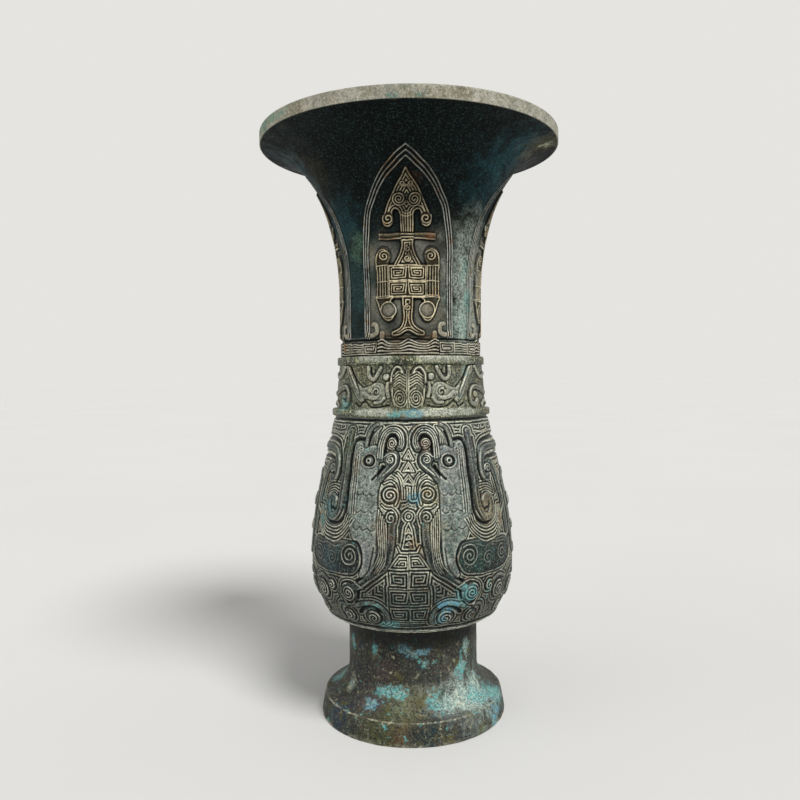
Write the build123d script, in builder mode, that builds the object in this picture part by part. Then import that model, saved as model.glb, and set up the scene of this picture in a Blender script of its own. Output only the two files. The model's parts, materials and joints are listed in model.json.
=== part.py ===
from build123d import *
from math import atan2, cos, radians, sin
import os

os.makedirs("parts", exist_ok=True)

# A bronze vase with a trumpet mouth, a pear-shaped belly and a flared foot.
# Millimetres. The foot stands on Z = 0, the axis is Z and the front faces -Y.

# Heights of the four cast sections, from the ground up
foot_height = 43.5
belly_height = 85.0
collar_height = 25.0
neck_height = 96.5

# Thickness of the castings, and the lapped seams between them
wall = 4.0
seam_lap = 3.0
seam_gap = 0.1
braze_leg = 1.2

# Foot: an upright band, a hollow cove and a short stem
foot_radius = 40.0
foot_band_height = 9.0
foot_band_lean = 1.6
foot_ring_width = 6.0
foot_cove_height = 12.0
stem_radius = 28.0

# Belly: a low, wide bulge that draws in to the collar
belly_edge_radius = 35.2
belly_radius = 43.6
belly_widest_rise = 23.5
belly_shoulder_inset = 3.3
belly_shoulder_drop = 31.2
belly_top_radius = 33.3
belly_floor_corner = 2.2
floor_margin = 2.5
floor_thickness = 3.5

# Collar: a frieze between two ribs, measured from the belly's top and from the neck
lower_rib_height = 3.0
lower_rib_stand = 1.3
upper_rib_height = 3.5
upper_rib_stand = 2.0
frieze_low_inset = 0.7
frieze_high_stand = 1.0
rib_round = 0.7

# Neck: a straight tube, three arcs that open it into the mouth, and an upright lip
neck_radius = 30.2
neck_tube_height = 26.5
flare_low_stand = 5.0
flare_low_drop = 36.0
flare_high_stand = 15.1
flare_high_drop = 16.5
mouth_radius = 65.0
lip_height = 5.3
lip_width = 4.5
lip_round = 0.6

# Ornament, raised above the wall and rooted in it
relief = 0.9
relief_root = 1.0
leaf_count = 4
leaf_bottom_rise = 7.0
leaf_half_width = 18.0
leaf_side_height = 42.5
leaf_arch_height = 31.0
leaf_border = 3.2
leaf_curl_radius = 3.4
bird_azimuth = -45.0
bird_line = 2.2
bird_plume = 1.7
bird_tail = 3.0
bird_thigh = 4.6
bird_breast_width = 12.6
bird_breast_height = 37.0
bird_breast_corner = 3.5
bird_wing_length = 30.8
bird_wing_height = 14.0
bird_wing_corner = 5.5
bird_volute_radius = 4.1
bird_bud_radius = 3.1
bird_seed_radius = 2.4
bead_radius = 0.9
bead_rise = 1.8
bead_stand = 1.1
dragon_azimuth = -34.0
dragon_line = 1.6
mask_width = 13.0
mask_height = 15.0
mask_corner = 1.5
mask_eye = 3.0

# Levels that the sections share
belly_bottom = foot_height
belly_widest = belly_bottom + belly_widest_rise
belly_top = belly_bottom + belly_height
collar_top = belly_top + collar_height
rim_top = collar_top + neck_height
foot_cove_top = foot_band_height + foot_cove_height
floor_level = belly_bottom + wall
frieze_bottom = belly_top + lower_rib_height
frieze_top = collar_top - upper_rib_height
leaf_bottom = collar_top + leaf_bottom_rise

# Outer radii that follow from the belly, the neck and the foot
foot_band_top_radius = foot_radius - foot_band_lean
belly_shoulder_radius = belly_radius - belly_shoulder_inset
floor_radius = belly_edge_radius - belly_floor_corner - floor_margin
lower_rib_radius = belly_top_radius + lower_rib_stand
frieze_low_radius = belly_top_radius - frieze_low_inset
frieze_high_radius = neck_radius + frieze_high_stand
upper_rib_radius = neck_radius + upper_rib_stand
flare_low_radius = neck_radius + flare_low_stand
flare_high_radius = neck_radius + flare_high_stand

# Radii that the sections share: each tongue is half a wall thick
tongue = wall / 2
foot_bore = stem_radius - wall
foot_socket = stem_radius - tongue
belly_bore = belly_top_radius - wall
belly_socket = belly_top_radius - tongue
neck_bore = neck_radius - wall
neck_socket = neck_radius - tongue
braze_face = braze_leg + seam_gap
ornament_reach = mouth_radius

# Ends of the three arcs of the flare, as radius and height
lip_corner = (mouth_radius, rim_top - lip_height)
rim_inner = (mouth_radius - lip_width, rim_top)
flare_ends = [
    (flare_low_radius, rim_top - flare_low_drop),
    (flare_high_radius, rim_top - flare_high_drop),
]


def belly_upper(outward=0.0):
    # Upper outside of the belly, moved outward
    widest = (belly_radius + outward, belly_widest)
    shoulder = (belly_shoulder_radius + outward, belly_top - belly_shoulder_drop)
    bulge = TangentArc(widest, shoulder, tangent=(0, 1))
    return Line(bulge @ 1, (belly_top_radius + outward, belly_top))


def belly_lower(foot, outward=0.0):
    # Underside of the belly, from its widest line down to the point given
    return TangentArc((belly_radius + outward, belly_widest), foot, tangent=(0, -1))


def neck_side(outward, mouth_end):
    # Side of the neck, moved outward square to itself, up to the point given
    low = (neck_radius, collar_top + neck_tube_height)
    side = Line((neck_radius + outward, collar_top), (neck_radius + outward, low[1]))
    lean = 0.0
    for high in flare_ends:
        lean = 2 * atan2(high[0] - low[0], high[1] - low[1]) - lean
        end = (high[0] + outward * cos(lean), high[1] - outward * sin(lean))
        side = TangentArc(side @ 1, end, tangent=side % 1)
        low = high
    return TangentArc(side @ 1, mouth_end, tangent=side % 1)


def facing_plane(azimuth, level):
    # Upright plane through the axis, turned from the front towards +X
    turn = radians(azimuth)
    return Plane(
        origin=(0, 0, level),
        x_dir=(cos(turn), sin(turn), 0),
        z_dir=(sin(turn), -cos(turn), 0),
    )


def band(path, width):
    # Raised line with round ends
    SlotArc(path.wires()[0], width)


# Foot with its tongue, which passes up through the bottom of the belly
with BuildPart() as pedestal_foot:
    with BuildSketch(Plane.XZ):
        with BuildLine():
            band_top = (foot_band_top_radius, foot_band_height)
            Polyline((foot_radius - foot_ring_width, 0), (foot_radius, 0), band_top)
            TangentArc((stem_radius, foot_cove_top), band_top, tangent=(0, -1))
            Polyline(
                (stem_radius, foot_cove_top),
                (stem_radius, belly_bottom),
                (foot_socket - seam_gap, belly_bottom),
                (foot_socket - seam_gap, floor_level - braze_leg),
                (foot_socket - seam_gap - braze_leg, floor_level),
                (foot_bore, floor_level),
                (foot_bore, foot_cove_top),
            )
            TangentArc(
                (foot_bore, foot_cove_top), (foot_radius - foot_ring_width, 0), tangent=(0, -1)
            )
        make_face()
    revolve(axis=Axis.Z)

# One bird of the belly, seen square on, with heights from the belly's bottom edge
with BuildPart() as one_bird:
    with BuildSketch(facing_plane(bird_azimuth, belly_bottom)):
        with BuildLine(mode=Mode.PRIVATE) as crest:
            Line((16.4, 70), (16.4, 76.2))
            CenterArc((19.6, 76.2), 3.2, 180, -200)
        band(crest, bird_line)
        with BuildLine(mode=Mode.PRIVATE) as plume:
            ThreePointArc((10.4, 74), (11.1, 79.4), (13.4, 82.2))
        band(plume, bird_plume)
        with BuildLine(mode=Mode.PRIVATE) as beak:
            ThreePointArc((18, 71.4), (23.2, 67.8), (18.4, 60.4))
        band(beak, bird_line)
        with BuildLine(mode=Mode.PRIVATE) as tail:
            Line((1.7, 79), (1.7, 49.2))
            CenterArc((-2.1, 49.2), 3.8, 0, -270)
        band(tail, bird_tail)
        with BuildLine(mode=Mode.PRIVATE) as hook:
            Line((-22.6, 72), (-8.4, 72))
            CenterArc((-8.4, 66.2), 5.8, 90, -165)
        band(hook, bird_tail)
        with BuildLine(mode=Mode.PRIVATE) as flank:
            ThreePointArc((-11, 62.6), (-14, 52.5), (-15.7, 38.4))
        band(flank, bird_tail)
        with BuildLine(mode=Mode.PRIVATE) as frame:
            FilletPolyline(
                (-24.8, 60.4), (-19.4, 60.4), (-19.6, 46), (-21.8, 27.4), (-27.4, 27.4), radius=2.6
            )
        band(frame, bird_tail)
        with BuildLine(mode=Mode.PRIVATE) as thigh:
            Line((17.4, 40), (17.4, 25.4))
        band(thigh, bird_thigh)
        with BuildLine(mode=Mode.PRIVATE) as leg:
            ThreePointArc((24.9, 44), (23.7, 28.7), (11.8, 19.2))
        band(leg, bird_tail)
        with BuildLine(mode=Mode.PRIVATE) as tendril:
            ThreePointArc((10.6, 11.2), (18.4, 13), (20.8, 5.2))
        band(tendril, bird_plume)
        with Locations((11.8, 56.3)):
            RectangleRounded(bird_breast_width, bird_breast_height, bird_breast_corner)
        with Locations((-1.5, 29.7)):
            RectangleRounded(bird_wing_length, bird_wing_height, bird_wing_corner)
        with Locations((8, 16.3), (-7.8, 14.9), (-19.3, 14.5)):
            Circle(bird_volute_radius)
        with Locations((22.8, 55.3), (16.2, 7), (-11.5, 6.5), (-24.4, 8.9), (-25.4, 48.5)):
            Circle(bird_bud_radius)
        with Locations((24.1, 46.7), (5.5, 6.7), (-1.2, 17.9), (-26.2, 37.5), (-6.8, 65.4)):
            Circle(bird_seed_radius)
    extrude(amount=ornament_reach)
    with BuildSketch(Plane.XZ):
        with BuildLine():
            belly_upper(relief)
            belly_lower((belly_edge_radius + relief, belly_bottom), relief)
            belly_upper(-relief_root)
            belly_lower((belly_edge_radius - relief_root, belly_bottom), -relief_root)
            Line(
                (belly_edge_radius - relief_root, belly_bottom),
                (belly_edge_radius + relief, belly_bottom),
            )
            Line((belly_top_radius - relief_root, belly_top), (belly_top_radius + relief, belly_top))
        make_face()
    revolve(axis=Axis.Z, mode=Mode.INTERSECT)

# Belly with the hole that takes the foot's tongue, and a tongue of its own on top
with BuildPart() as belly_shell:
    with BuildSketch(Plane.XZ):
        with BuildLine():
            inner_corner = (belly_edge_radius - belly_floor_corner, floor_level)
            belly_lower((belly_edge_radius, belly_bottom))
            belly_upper()
            Polyline(
                (belly_top_radius, belly_top),
                (belly_socket - seam_gap, belly_top),
                (belly_socket - seam_gap, belly_top + seam_lap - seam_gap),
                (belly_bore + braze_leg, belly_top + seam_lap - seam_gap),
                (belly_bore, belly_top + seam_lap - seam_gap - braze_leg),
                (belly_bore, belly_top),
            )
            belly_upper(-wall)
            belly_lower(inner_corner, -wall)
            Polyline(
                inner_corner,
                (foot_socket, floor_level),
                (foot_socket, belly_bottom),
                (belly_edge_radius, belly_bottom),
            )
        make_face()
        with Locations((belly_edge_radius + bead_stand, belly_bottom + bead_rise)):
            Circle(bead_radius)
    revolve(axis=Axis.Z)
    with PolarLocations(0, 2):
        add([one_bird.part, one_bird.part.mirror(Plane.YZ)])

# Disc that closes the vessel above the hollow foot
with BuildPart() as belly_floor:
    with BuildSketch(Plane.XY.offset(floor_level)):
        Circle(floor_radius)
    extrude(amount=floor_thickness)

# Dragon and square mask of the frieze, with heights from its lower edge
with BuildPart() as frieze_ornament:
    with BuildSketch(facing_plane(dragon_azimuth, frieze_bottom)):
        with BuildLine(mode=Mode.PRIVATE) as body:
            Line((-10.4, 16.6), (-4.2, 7.2))
            ThreePointArc((-4.2, 7.2), (0, 5.0), (4.4, 5.2))
            ThreePointArc((4.4, 5.2), (6.8, 7.6), (4.4, 9.4))
        band(body, dragon_line)
        with BuildLine(mode=Mode.PRIVATE) as pouch:
            ThreePointArc((0.8, 17), (4.2, 12.2), (7.6, 17))
        band(pouch, dragon_line)
        with BuildLine(mode=Mode.PRIVATE) as claw:
            ThreePointArc((-5.2, 1.4), (2.4, 2.2), (10.2, 1.4))
        band(claw, dragon_line)
    extrude(amount=ornament_reach)
    mirror(about=Plane.YZ)
    with BuildSketch(facing_plane(0, (frieze_bottom + frieze_top) / 2)):
        RectangleRounded(mask_width, mask_height, mask_corner)
        with Locations((mask_width / 4, mask_height / 4), (-mask_width / 4, mask_height / 4)):
            Rectangle(mask_eye, mask_eye, mode=Mode.SUBTRACT)
    extrude(amount=ornament_reach)
    with BuildSketch(Plane.XZ):
        with BuildLine():
            Polyline(
                (frieze_low_radius - relief_root, frieze_bottom),
                (frieze_low_radius + relief, frieze_bottom),
                (frieze_high_radius + relief, frieze_top),
                (frieze_high_radius - relief_root, frieze_top),
                close=True,
            )
        make_face()
    revolve(axis=Axis.Z, mode=Mode.INTERSECT)

# Collar with a socket at each end
with BuildPart() as frieze_collar:
    with BuildSketch(Plane.XZ):
        with BuildLine():
            Polyline(
                (belly_socket, belly_top),
                (lower_rib_radius, belly_top),
                (lower_rib_radius, frieze_bottom),
                (frieze_low_radius, frieze_bottom),
                (frieze_high_radius, frieze_top),
                (upper_rib_radius, frieze_top),
                (upper_rib_radius, collar_top),
                (neck_socket, collar_top),
                (neck_socket, collar_top - seam_lap),
                (neck_bore, collar_top - seam_lap),
                (belly_bore, belly_top + seam_lap),
                (belly_socket, belly_top + seam_lap),
                close=True,
            )
        make_face()
    revolve(axis=Axis.Z)
    low_edges = edges().filter_by(GeomType.CIRCLE).filter_by_position(Axis.Z, belly_top, frieze_bottom)
    high_edges = edges().filter_by(GeomType.CIRCLE).filter_by_position(Axis.Z, frieze_top, collar_top)
    lower_rib_edges = low_edges.filter_by(lambda edge: edge.radius > belly_socket)
    upper_rib_edges = high_edges.filter_by(lambda edge: edge.radius > frieze_high_radius)
    fillet(lower_rib_edges + upper_rib_edges, radius=rib_round)
    with PolarLocations(0, 2):
        add(frieze_ornament.part)

# One leaf of the neck: a lancet border around a spear, a horned body and a tail
arch_radius = (leaf_half_width**2 + leaf_arch_height**2) / (2 * leaf_half_width)
leaf_tip = (0, leaf_side_height + leaf_arch_height)
with BuildPart() as one_leaf:
    with BuildSketch(facing_plane(0, leaf_bottom)):
        with BuildLine():
            right_side = Line((leaf_half_width, 0), (leaf_half_width, leaf_side_height))
            RadiusArc(right_side @ 1, leaf_tip, -arch_radius)
            left_side = Line((-leaf_half_width, 0), (-leaf_half_width, leaf_side_height))
            RadiusArc(left_side @ 1, leaf_tip, arch_radius)
            Line(left_side @ 0, right_side @ 0)
        make_face()
        offset(amount=-leaf_border, kind=Kind.INTERSECTION, mode=Mode.SUBTRACT)
        Rectangle(
            2 * (leaf_half_width - leaf_border),
            leaf_border,
            align=(Align.CENTER, Align.MIN),
            mode=Mode.SUBTRACT,
        )
        with BuildSketch(mode=Mode.PRIVATE) as motif:
            with BuildLine():
                ThreePointArc((0, 63.5), (5.6, 57.4), (9.8, 48))
                Polyline((9.8, 48), (2.6, 46.5), (2.6, 42), (11.5, 42), (11.5, 39.5), (3.4, 39.5))
                Polyline((3.4, 39.5), (4.2, 35.5), (8.2, 30), (12.6, 30), (12.6, 15.5), (3.0, 15.5))
                ThreePointArc((3.0, 15.5), (2.6, 9.4), (6.6, 4.4))
                Polyline((6.6, 4.4), (5.0, 2.0), (0, 3.6), (0, 63.5))
            make_face()
            with Locations((7.4, 48.2), (10.0, 32.5), (7.6, 12.6)):
                Circle(leaf_curl_radius)
            mirror(about=Plane.YZ)
        add(motif.sketch)
    extrude(amount=ornament_reach)
    with BuildSketch(Plane.XZ):
        with BuildLine():
            inner = neck_side(-relief_root, lip_corner)
            outer = neck_side(relief, (mouth_radius, rim_top - lip_height - relief))
            Line(inner @ 1, outer @ 1)
            Line((neck_radius - relief_root, collar_top), (neck_radius + relief, collar_top))
        make_face()
    revolve(axis=Axis.Z, mode=Mode.INTERSECT)

# Neck and mouth, with the tongue that drops into the collar
with BuildPart() as trumpet_neck:
    with BuildSketch(Plane.XZ):
        with BuildLine():
            neck_side(0, lip_corner)
            Polyline(lip_corner, (mouth_radius, rim_top), rim_inner)
            neck_side(-wall, rim_inner)
            Polyline(
                (neck_bore, collar_top),
                (neck_bore, collar_top - seam_lap + braze_face),
                (neck_bore + braze_leg, collar_top - seam_lap + seam_gap),
                (neck_socket - seam_gap, collar_top - seam_lap + seam_gap),
                (neck_socket - seam_gap, collar_top),
                (neck_radius, collar_top),
            )
        make_face()
    revolve(axis=Axis.Z)
    fillet(edges().filter_by(GeomType.CIRCLE).group_by(Axis.Z)[-1], radius=lip_round)
    with PolarLocations(0, leaf_count):
        add(one_leaf.part)


def braze_ring(corner, run, rise):
    # Ring of filler metal with a three-cornered section
    with BuildPart() as ring:
        with BuildSketch(Plane.XZ):
            with BuildLine():
                along = (corner[0] + run, corner[1])
                above = (corner[0], corner[1] + rise)
                Polyline(corner, along, above, close=True)
            make_face()
        revolve(axis=Axis.Z)
    return ring


neck_braze = braze_ring((neck_bore, collar_top - seam_lap), braze_face, braze_face)
collar_braze = braze_ring((belly_bore, belly_top + seam_lap), braze_face, -braze_face)
foot_braze = braze_ring((foot_socket, floor_level), -braze_face, -braze_face)
floor_braze = braze_ring((floor_radius, floor_level), braze_leg, braze_leg)

pieces = {
    "pedestal_foot": pedestal_foot,
    "belly_shell": belly_shell,
    "belly_floor": belly_floor,
    "frieze_collar": frieze_collar,
    "trumpet_neck": trumpet_neck,
    "neck_braze": neck_braze,
    "collar_braze": collar_braze,
    "foot_braze": foot_braze,
    "floor_braze": floor_braze,
}
for name, piece in pieces.items():
    piece.part.label = name
    export_step(piece.part, f"parts/{name}.step")
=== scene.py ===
import json
from math import atan2, cos, degrees, hypot, pi, radians, sin
from types import SimpleNamespace

import bpy
import numpy as np
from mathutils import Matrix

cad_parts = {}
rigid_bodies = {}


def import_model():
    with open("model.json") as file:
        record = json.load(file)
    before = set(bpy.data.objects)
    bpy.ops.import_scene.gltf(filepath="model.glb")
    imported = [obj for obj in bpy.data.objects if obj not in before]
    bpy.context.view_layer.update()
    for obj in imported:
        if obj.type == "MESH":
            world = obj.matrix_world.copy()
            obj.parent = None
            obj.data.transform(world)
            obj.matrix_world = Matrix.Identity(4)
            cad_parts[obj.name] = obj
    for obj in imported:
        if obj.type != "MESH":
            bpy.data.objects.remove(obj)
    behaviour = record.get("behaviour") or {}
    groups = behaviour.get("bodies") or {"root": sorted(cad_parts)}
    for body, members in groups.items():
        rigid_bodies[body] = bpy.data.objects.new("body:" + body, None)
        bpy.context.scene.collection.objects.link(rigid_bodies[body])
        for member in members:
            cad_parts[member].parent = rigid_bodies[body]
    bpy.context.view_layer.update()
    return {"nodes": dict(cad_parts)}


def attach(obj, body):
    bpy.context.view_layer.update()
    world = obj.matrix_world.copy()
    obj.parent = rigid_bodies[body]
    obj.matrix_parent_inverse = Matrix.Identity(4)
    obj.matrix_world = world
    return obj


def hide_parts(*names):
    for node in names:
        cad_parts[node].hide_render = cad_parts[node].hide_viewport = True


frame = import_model()
mm = 0.001
print("frame loaded")


# outlines, as (radius, height) in mm

def tangentArc(outline, end, lean, steps):  # lean is the angle from upright, the new lean comes back
    start = outline[-1]
    run, rise = end[0] - start[0], end[1] - start[1]
    turn = 2 * (atan2(run, rise) - lean)
    for step in range(1, steps + 1):
        part = step / steps
        if abs(turn) < 1e-6:
            outline.append((start[0] + run * part, start[1] + rise * part))
            continue
        bend = hypot(run, rise) / (2 * sin(turn / 2))
        angle = lean + turn * part
        x = start[0] + bend * (cos(lean) - cos(angle))
        outline.append((x, start[1] + bend * (sin(angle) - sin(lean))))
    return lean + turn


def roundCorner(outline, corner, end, size, steps=5):  # to the corner, round it and on towards the end
    start = outline[-1]
    before = hypot(corner[0] - start[0], corner[1] - start[1])
    after = hypot(end[0] - corner[0], end[1] - corner[1])
    first = [corner[i] + (start[i] - corner[i]) * size / before for i in range(2)]
    last = [corner[i] + (end[i] - corner[i]) * size / after for i in range(2)]
    for step in range(steps + 1):
        t = step / steps
        bow = [(1 - t) ** 2 * first[i] + 2 * t * (1 - t) * corner[i] + t * t * last[i] for i in range(2)]
        outline.append(tuple(bow))


# relief sheets: layers over angle and height, wrapped round the outline later

relief = {
    "wobble": 0.16, "wobblePitch": 0.55, "reach": 7.0, "far": 9.0,  # the hand, and how far it is felt
    "lineTop": 0.08, "lineHalf": 0.3, "cutSoft": 0.25, "domeEdge": 0.6, "clearSoft": 0.2,  # edges
    "patchEdge": 0.38, "patchFirst": 0.5, "patchLine": 0.36, "patchSoft": 0.1,  # lines inside a patch
    "groundFirst": 0.75, "groundLine": (0.1, 0.52), "groundGap": (0.25, 0.5),  # coils of the ground
    "bodyFull": 0.8, "wearFull": 0.42, "hollowFull": 0.15,  # paint: rubbed metal with a painted highlight on lines and edges, painted shade in hollows
    "between": 2.4, "blur": 4, "thin": 2.1,
    "domeReach": 4, "clearReach": 2, "turnSteps": 14, "coilLeast": 0.6,
}


def waves(x, y, z, pitch, seed, count=9, level=3.2):  # smooth unevenness between about -1 and 1
    draw = np.random.default_rng(seed)
    total = 0
    for _ in range(count):
        way = draw.normal(size=3)
        way = way / np.linalg.norm(way) * pitch * (0.5 + 1.5 * draw.random())
        total = total + np.sin(x * way[0] + y * way[1] + z * way[2] + draw.random() * 2 * pi)
    return total / level


def spread(stops, counts):  # even steps between each pair of stops
    parts = [np.linspace(a, b, n, endpoint=False) for a, b, n in zip(stops[:-1], stops[1:], counts)]
    return np.concatenate(parts + [stops[-1:]])


def runAlong(outline):  # length of the outline up to each of its points
    steps = np.hypot(*np.diff(np.array(outline), axis=0).T)
    return np.concatenate([[0], np.cumsum(steps)])


def makeSheet(outline, angle, rows, seed=3):  # rows are a number, or lengths along the outline
    points = np.array(outline)
    run = runAlong(outline)
    v = np.linspace(0, run[-1], rows) if np.isscalar(rows) else rows
    rows, columns = len(v), len(angle)
    r = np.interp(v, run, points[:, 0])
    z = np.interp(v, run, points[:, 1])
    sheet = {"angle": angle, "v": v, "r": r, "z": z, "near": np.full((rows, columns), relief["far"])}
    for layer in ("body", "line", "cut", "tone"):
        sheet[layer] = np.zeros((rows, columns))
    a = np.radians(angle)[None, :]
    x, y, up = r[:, None] * np.sin(a), -r[:, None] * np.cos(a), z[:, None] + 0 * a
    sheet["wobbleS"] = relief["wobble"] * waves(x, y, up, relief["wobblePitch"], seed)
    sheet["wobbleV"] = relief["wobble"] * waves(x, y, up, relief["wobblePitch"], seed + 8)
    return sheet


def fade(distance, inner, outer):  # 1 up to inner, 0 past outer
    t = np.clip((distance - inner) / (outer - inner), 0, 1)
    return 1 - t * t * (3 - 2 * t)


def smoothPath(points, closed=False, steps=7):
    pts = [np.array(p, float) for p in points]
    count = len(pts)
    path = []
    for i in range(count if closed else count - 1):
        if closed:
            p0, p1, p2, p3 = (pts[(i + k) % count] for k in (-1, 0, 1, 2))
        else:
            p1, p2 = pts[i], pts[i + 1]
            p0 = pts[i - 1] if i else 2 * p1 - p2
            p3 = pts[i + 2] if i + 2 < count else 2 * p2 - p1
        for step in range(steps):
            t = step / steps
            square, cube = 2 * p0 - 5 * p1 + 4 * p2 - p3, 3 * p1 - p0 - 3 * p2 + p3
            path.append(0.5 * (2 * p1 + (p2 - p0) * t + square * t * t + cube * t ** 3))
    if not closed:
        path.append(pts[-1])
    return np.array(path)


def around(sheet, path, reach):  # the part of the sheet near a path, in mm along and up the surface
    middle = (path[:, 0].min() + path[:, 0].max()) / 2
    v = np.interp(path[:, 1], sheet["z"], sheet["v"])
    r = np.interp(path[:, 1], sheet["z"], sheet["r"])
    flat = np.column_stack([np.radians(path[:, 0] - middle) * r, v])
    turn = degrees(reach / r.min())
    rows = slice(*np.searchsorted(sheet["v"], [v.min() - reach, v.max() + reach]))
    cols = slice(*np.searchsorted(sheet["angle"], [path[:, 0].min() - turn, path[:, 0].max() + turn]))
    s = np.radians(sheet["angle"][None, cols] - middle) * sheet["r"][rows, None]
    s = s + sheet["wobbleS"][rows, cols]
    up = sheet["v"][rows, None] + sheet["wobbleV"][rows, cols]
    return (rows, cols), flat, s, up


def distance(sheet, points, reach, smooth=True, closed=False):  # less than 0 inside a closed path
    path = smoothPath(points, closed) if smooth else np.array(points, float)
    if closed:
        path = np.vstack([path, path[:1]])
    block, flat, s, up = around(sheet, path, reach)
    best = np.full(s.shape, 1e6)
    inside = np.zeros(s.shape, bool)
    for (s0, v0), (s1, v1) in zip(flat[:-1], flat[1:]):
        ds, dv = s1 - s0, v1 - v0
        t = np.clip(((s - s0) * ds + (up - v0) * dv) / max(ds * ds + dv * dv, 1e-9), 0, 1)
        best = np.minimum(best, (s - s0 - t * ds) ** 2 + (up - v0 - t * dv) ** 2)
        if closed and v0 != v1:
            crosses = (v0 > up) != (v1 > up)
            inside ^= crosses & (s < s0 + (up - v0) * ds / dv)
    best = np.sqrt(best)
    return block, np.where(inside, -best, best)


def fromPoint(sheet, centre, reach):
    return distance(sheet, [centre, (centre[0] + 0.01, centre[1])], reach, smooth=False)


def raiseTo(sheet, block, height, gap, tone, mask):  # the higher of old and new, and its tone
    sheet["body"][block] = np.maximum(sheet["body"][block], height)
    sheet["near"][block] = np.minimum(sheet["near"][block], gap)
    sheet["tone"][block] += (tone - sheet["tone"][block]) * mask


def raiseBand(sheet, points, width, level=0.8, tone=0.0, edge=0.4):
    block, d = distance(sheet, points, relief["reach"])
    mask = fade(d, width / 2 - edge, width / 2 + edge)
    raiseTo(sheet, block, level * mask, d - width / 2, tone, mask)


def raisePatch(sheet, points, level=0.8, tone=0.0, edge=0.45, smooth=True):
    block, d = distance(sheet, points, relief["reach"], smooth, closed=True)
    mask = fade(d, -edge, edge)
    raiseTo(sheet, block, level * mask, d, tone, mask)
    return block, d


def raiseDome(sheet, points, size, level=0.8, tone=0.0):  # one point, the middle of the dome
    block, d = fromPoint(sheet, points[0], size + relief["domeReach"])
    dome = np.sqrt(np.clip(1 - (d / size) ** 2, 0, 1))
    raiseTo(sheet, block, level * dome, d - size, tone, fade(d, size - relief["domeEdge"], size))


def cutLine(sheet, points, width=0.9, depth=0.45, smooth=True):
    block, d = distance(sheet, points, relief["reach"], smooth)
    groove = depth * fade(d, width / 2 - relief["cutSoft"], width / 2 + relief["cutSoft"])
    sheet["cut"][block] = np.maximum(sheet["cut"][block], groove)
    sheet["near"][block] = np.minimum(sheet["near"][block], d - width / 2)


def thread(sheet, points, width=0.42, level=1.0, smooth=True):  # a thin raised line
    block, d = distance(sheet, points, relief["reach"], smooth)
    sheet["line"][block] = np.maximum(sheet["line"][block], level * fade(d, relief["lineTop"], width))
    sheet["near"][block] = np.minimum(sheet["near"][block], d - relief["lineHalf"])


def ruled(sheet, points, width=0.42, level=1.0):  # the same with sharp corners
    thread(sheet, points, width, level, smooth=False)


def clearLines(sheet, points, size):  # bare metal round one point
    block, d = fromPoint(sheet, points[0], size + relief["clearReach"])
    sheet["line"][block] *= 1 - fade(d, size - relief["clearSoft"], size + relief["clearSoft"])


def nestedLines(gap, pitch, first):
    return np.abs((gap - first + pitch / 2) % pitch - pitch / 2)


def linedPatch(sheet, points, level, depth, pitch=1.06):  # raised, with lines inside its edge
    block, d = raisePatch(sheet, points, level, 0.0, relief["patchEdge"])
    lines = fade(nestedLines(-d, pitch, relief["patchFirst"]), relief["lineTop"], relief["patchLine"])
    soft = relief["patchSoft"]
    lines = lines * fade(d, -relief["lineHalf"], -soft) * fade(-d, depth - soft, depth + soft)
    sheet["line"][block] = np.maximum(sheet["line"][block], lines)


def offsetPoint(sheet, centre, along, up):  # a point so many mm along and up the surface
    v = np.interp(centre[1], sheet["z"], sheet["v"]) + up
    r = np.interp(centre[1], sheet["z"], sheet["r"])
    return (centre[0] + degrees(along / r), float(np.interp(v, sheet["v"], sheet["z"])))


def spiral(sheet, centre, size, turns, start=0.0, hand=1, core=0.35, tall=1.0):
    count = int(relief["turnSteps"] * turns) + 1
    points = []
    for i in range(count):
        part = i / (count - 1)
        reach = size + (core - size) * part
        angle = radians(start) + hand * 2 * pi * turns * part
        points.append(offsetPoint(sheet, centre, reach * cos(angle), tall * reach * sin(angle)))
    return points


def ring(sheet, centre, size, tall=1.0):
    return spiral(sheet, centre, size, 1.0, 0, 1, size, tall)


def coil(sheet, centre, size, turns, start, hand, width=0.42, level=1.0):
    thread(sheet, spiral(sheet, centre, size, turns, start, hand), width, level)


def curl(sheet, centre, dome, level, size, turns, start, hand, width=0.42, tone=0.0):  # a coil on a dome
    raiseDome(sheet, [centre], dome, level, tone)
    coil(sheet, centre, size, turns, start, hand, width)


def squareSpiral(sheet, centre, width, height, pitch=1.3, hand=1):
    x, y = width / 2, height / 2
    points = [(-x, -y), (x, -y), (x, y), (-x, y)]
    while min(x, y) > pitch * relief["coilLeast"]:
        x, y = x - pitch / 2, y - pitch / 2
        inX, inY = x - pitch / 2, y - pitch / 2
        points.extend([(-x, -inY), (inX, -inY), (inX, inY), (-inX, inY)])
        x, y = inX, inY
    return [offsetPoint(sheet, centre, hand * px, py) for px, py in points]


def fillGround(sheet, cell, start, pitch=1.32, contour=2.5, level=0.9):  # square coils in what is left
    near = sheet["near"]
    follow = fade(nestedLines(near, pitch, relief["groundFirst"]), *relief["groundLine"])
    u = sheet["angle"][None, :] / cell[0]
    w = (sheet["v"][:, None] - start) / cell[1]
    x = ((u % 1) - 0.5) * np.radians(cell[0]) * sheet["r"][:, None] + sheet["wobbleS"]
    y = ((w % 1) - 0.5) * cell[1] + sheet["wobbleV"]
    hand = np.where((np.floor(u) + np.floor(w)) % 2 == 0, 1.0, -1.0)
    turns = np.maximum(np.abs(x), np.abs(y)) / pitch - np.arctan2(y, x * hand) / (2 * pi)
    coils = fade(np.abs(turns % 1 - 0.5) * pitch, *relief["groundLine"])
    lines = np.where(near < contour, follow, coils) * (1 - fade(near, *relief["groundGap"])) * level
    sheet["line"] = np.maximum(sheet["line"], lines)


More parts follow.
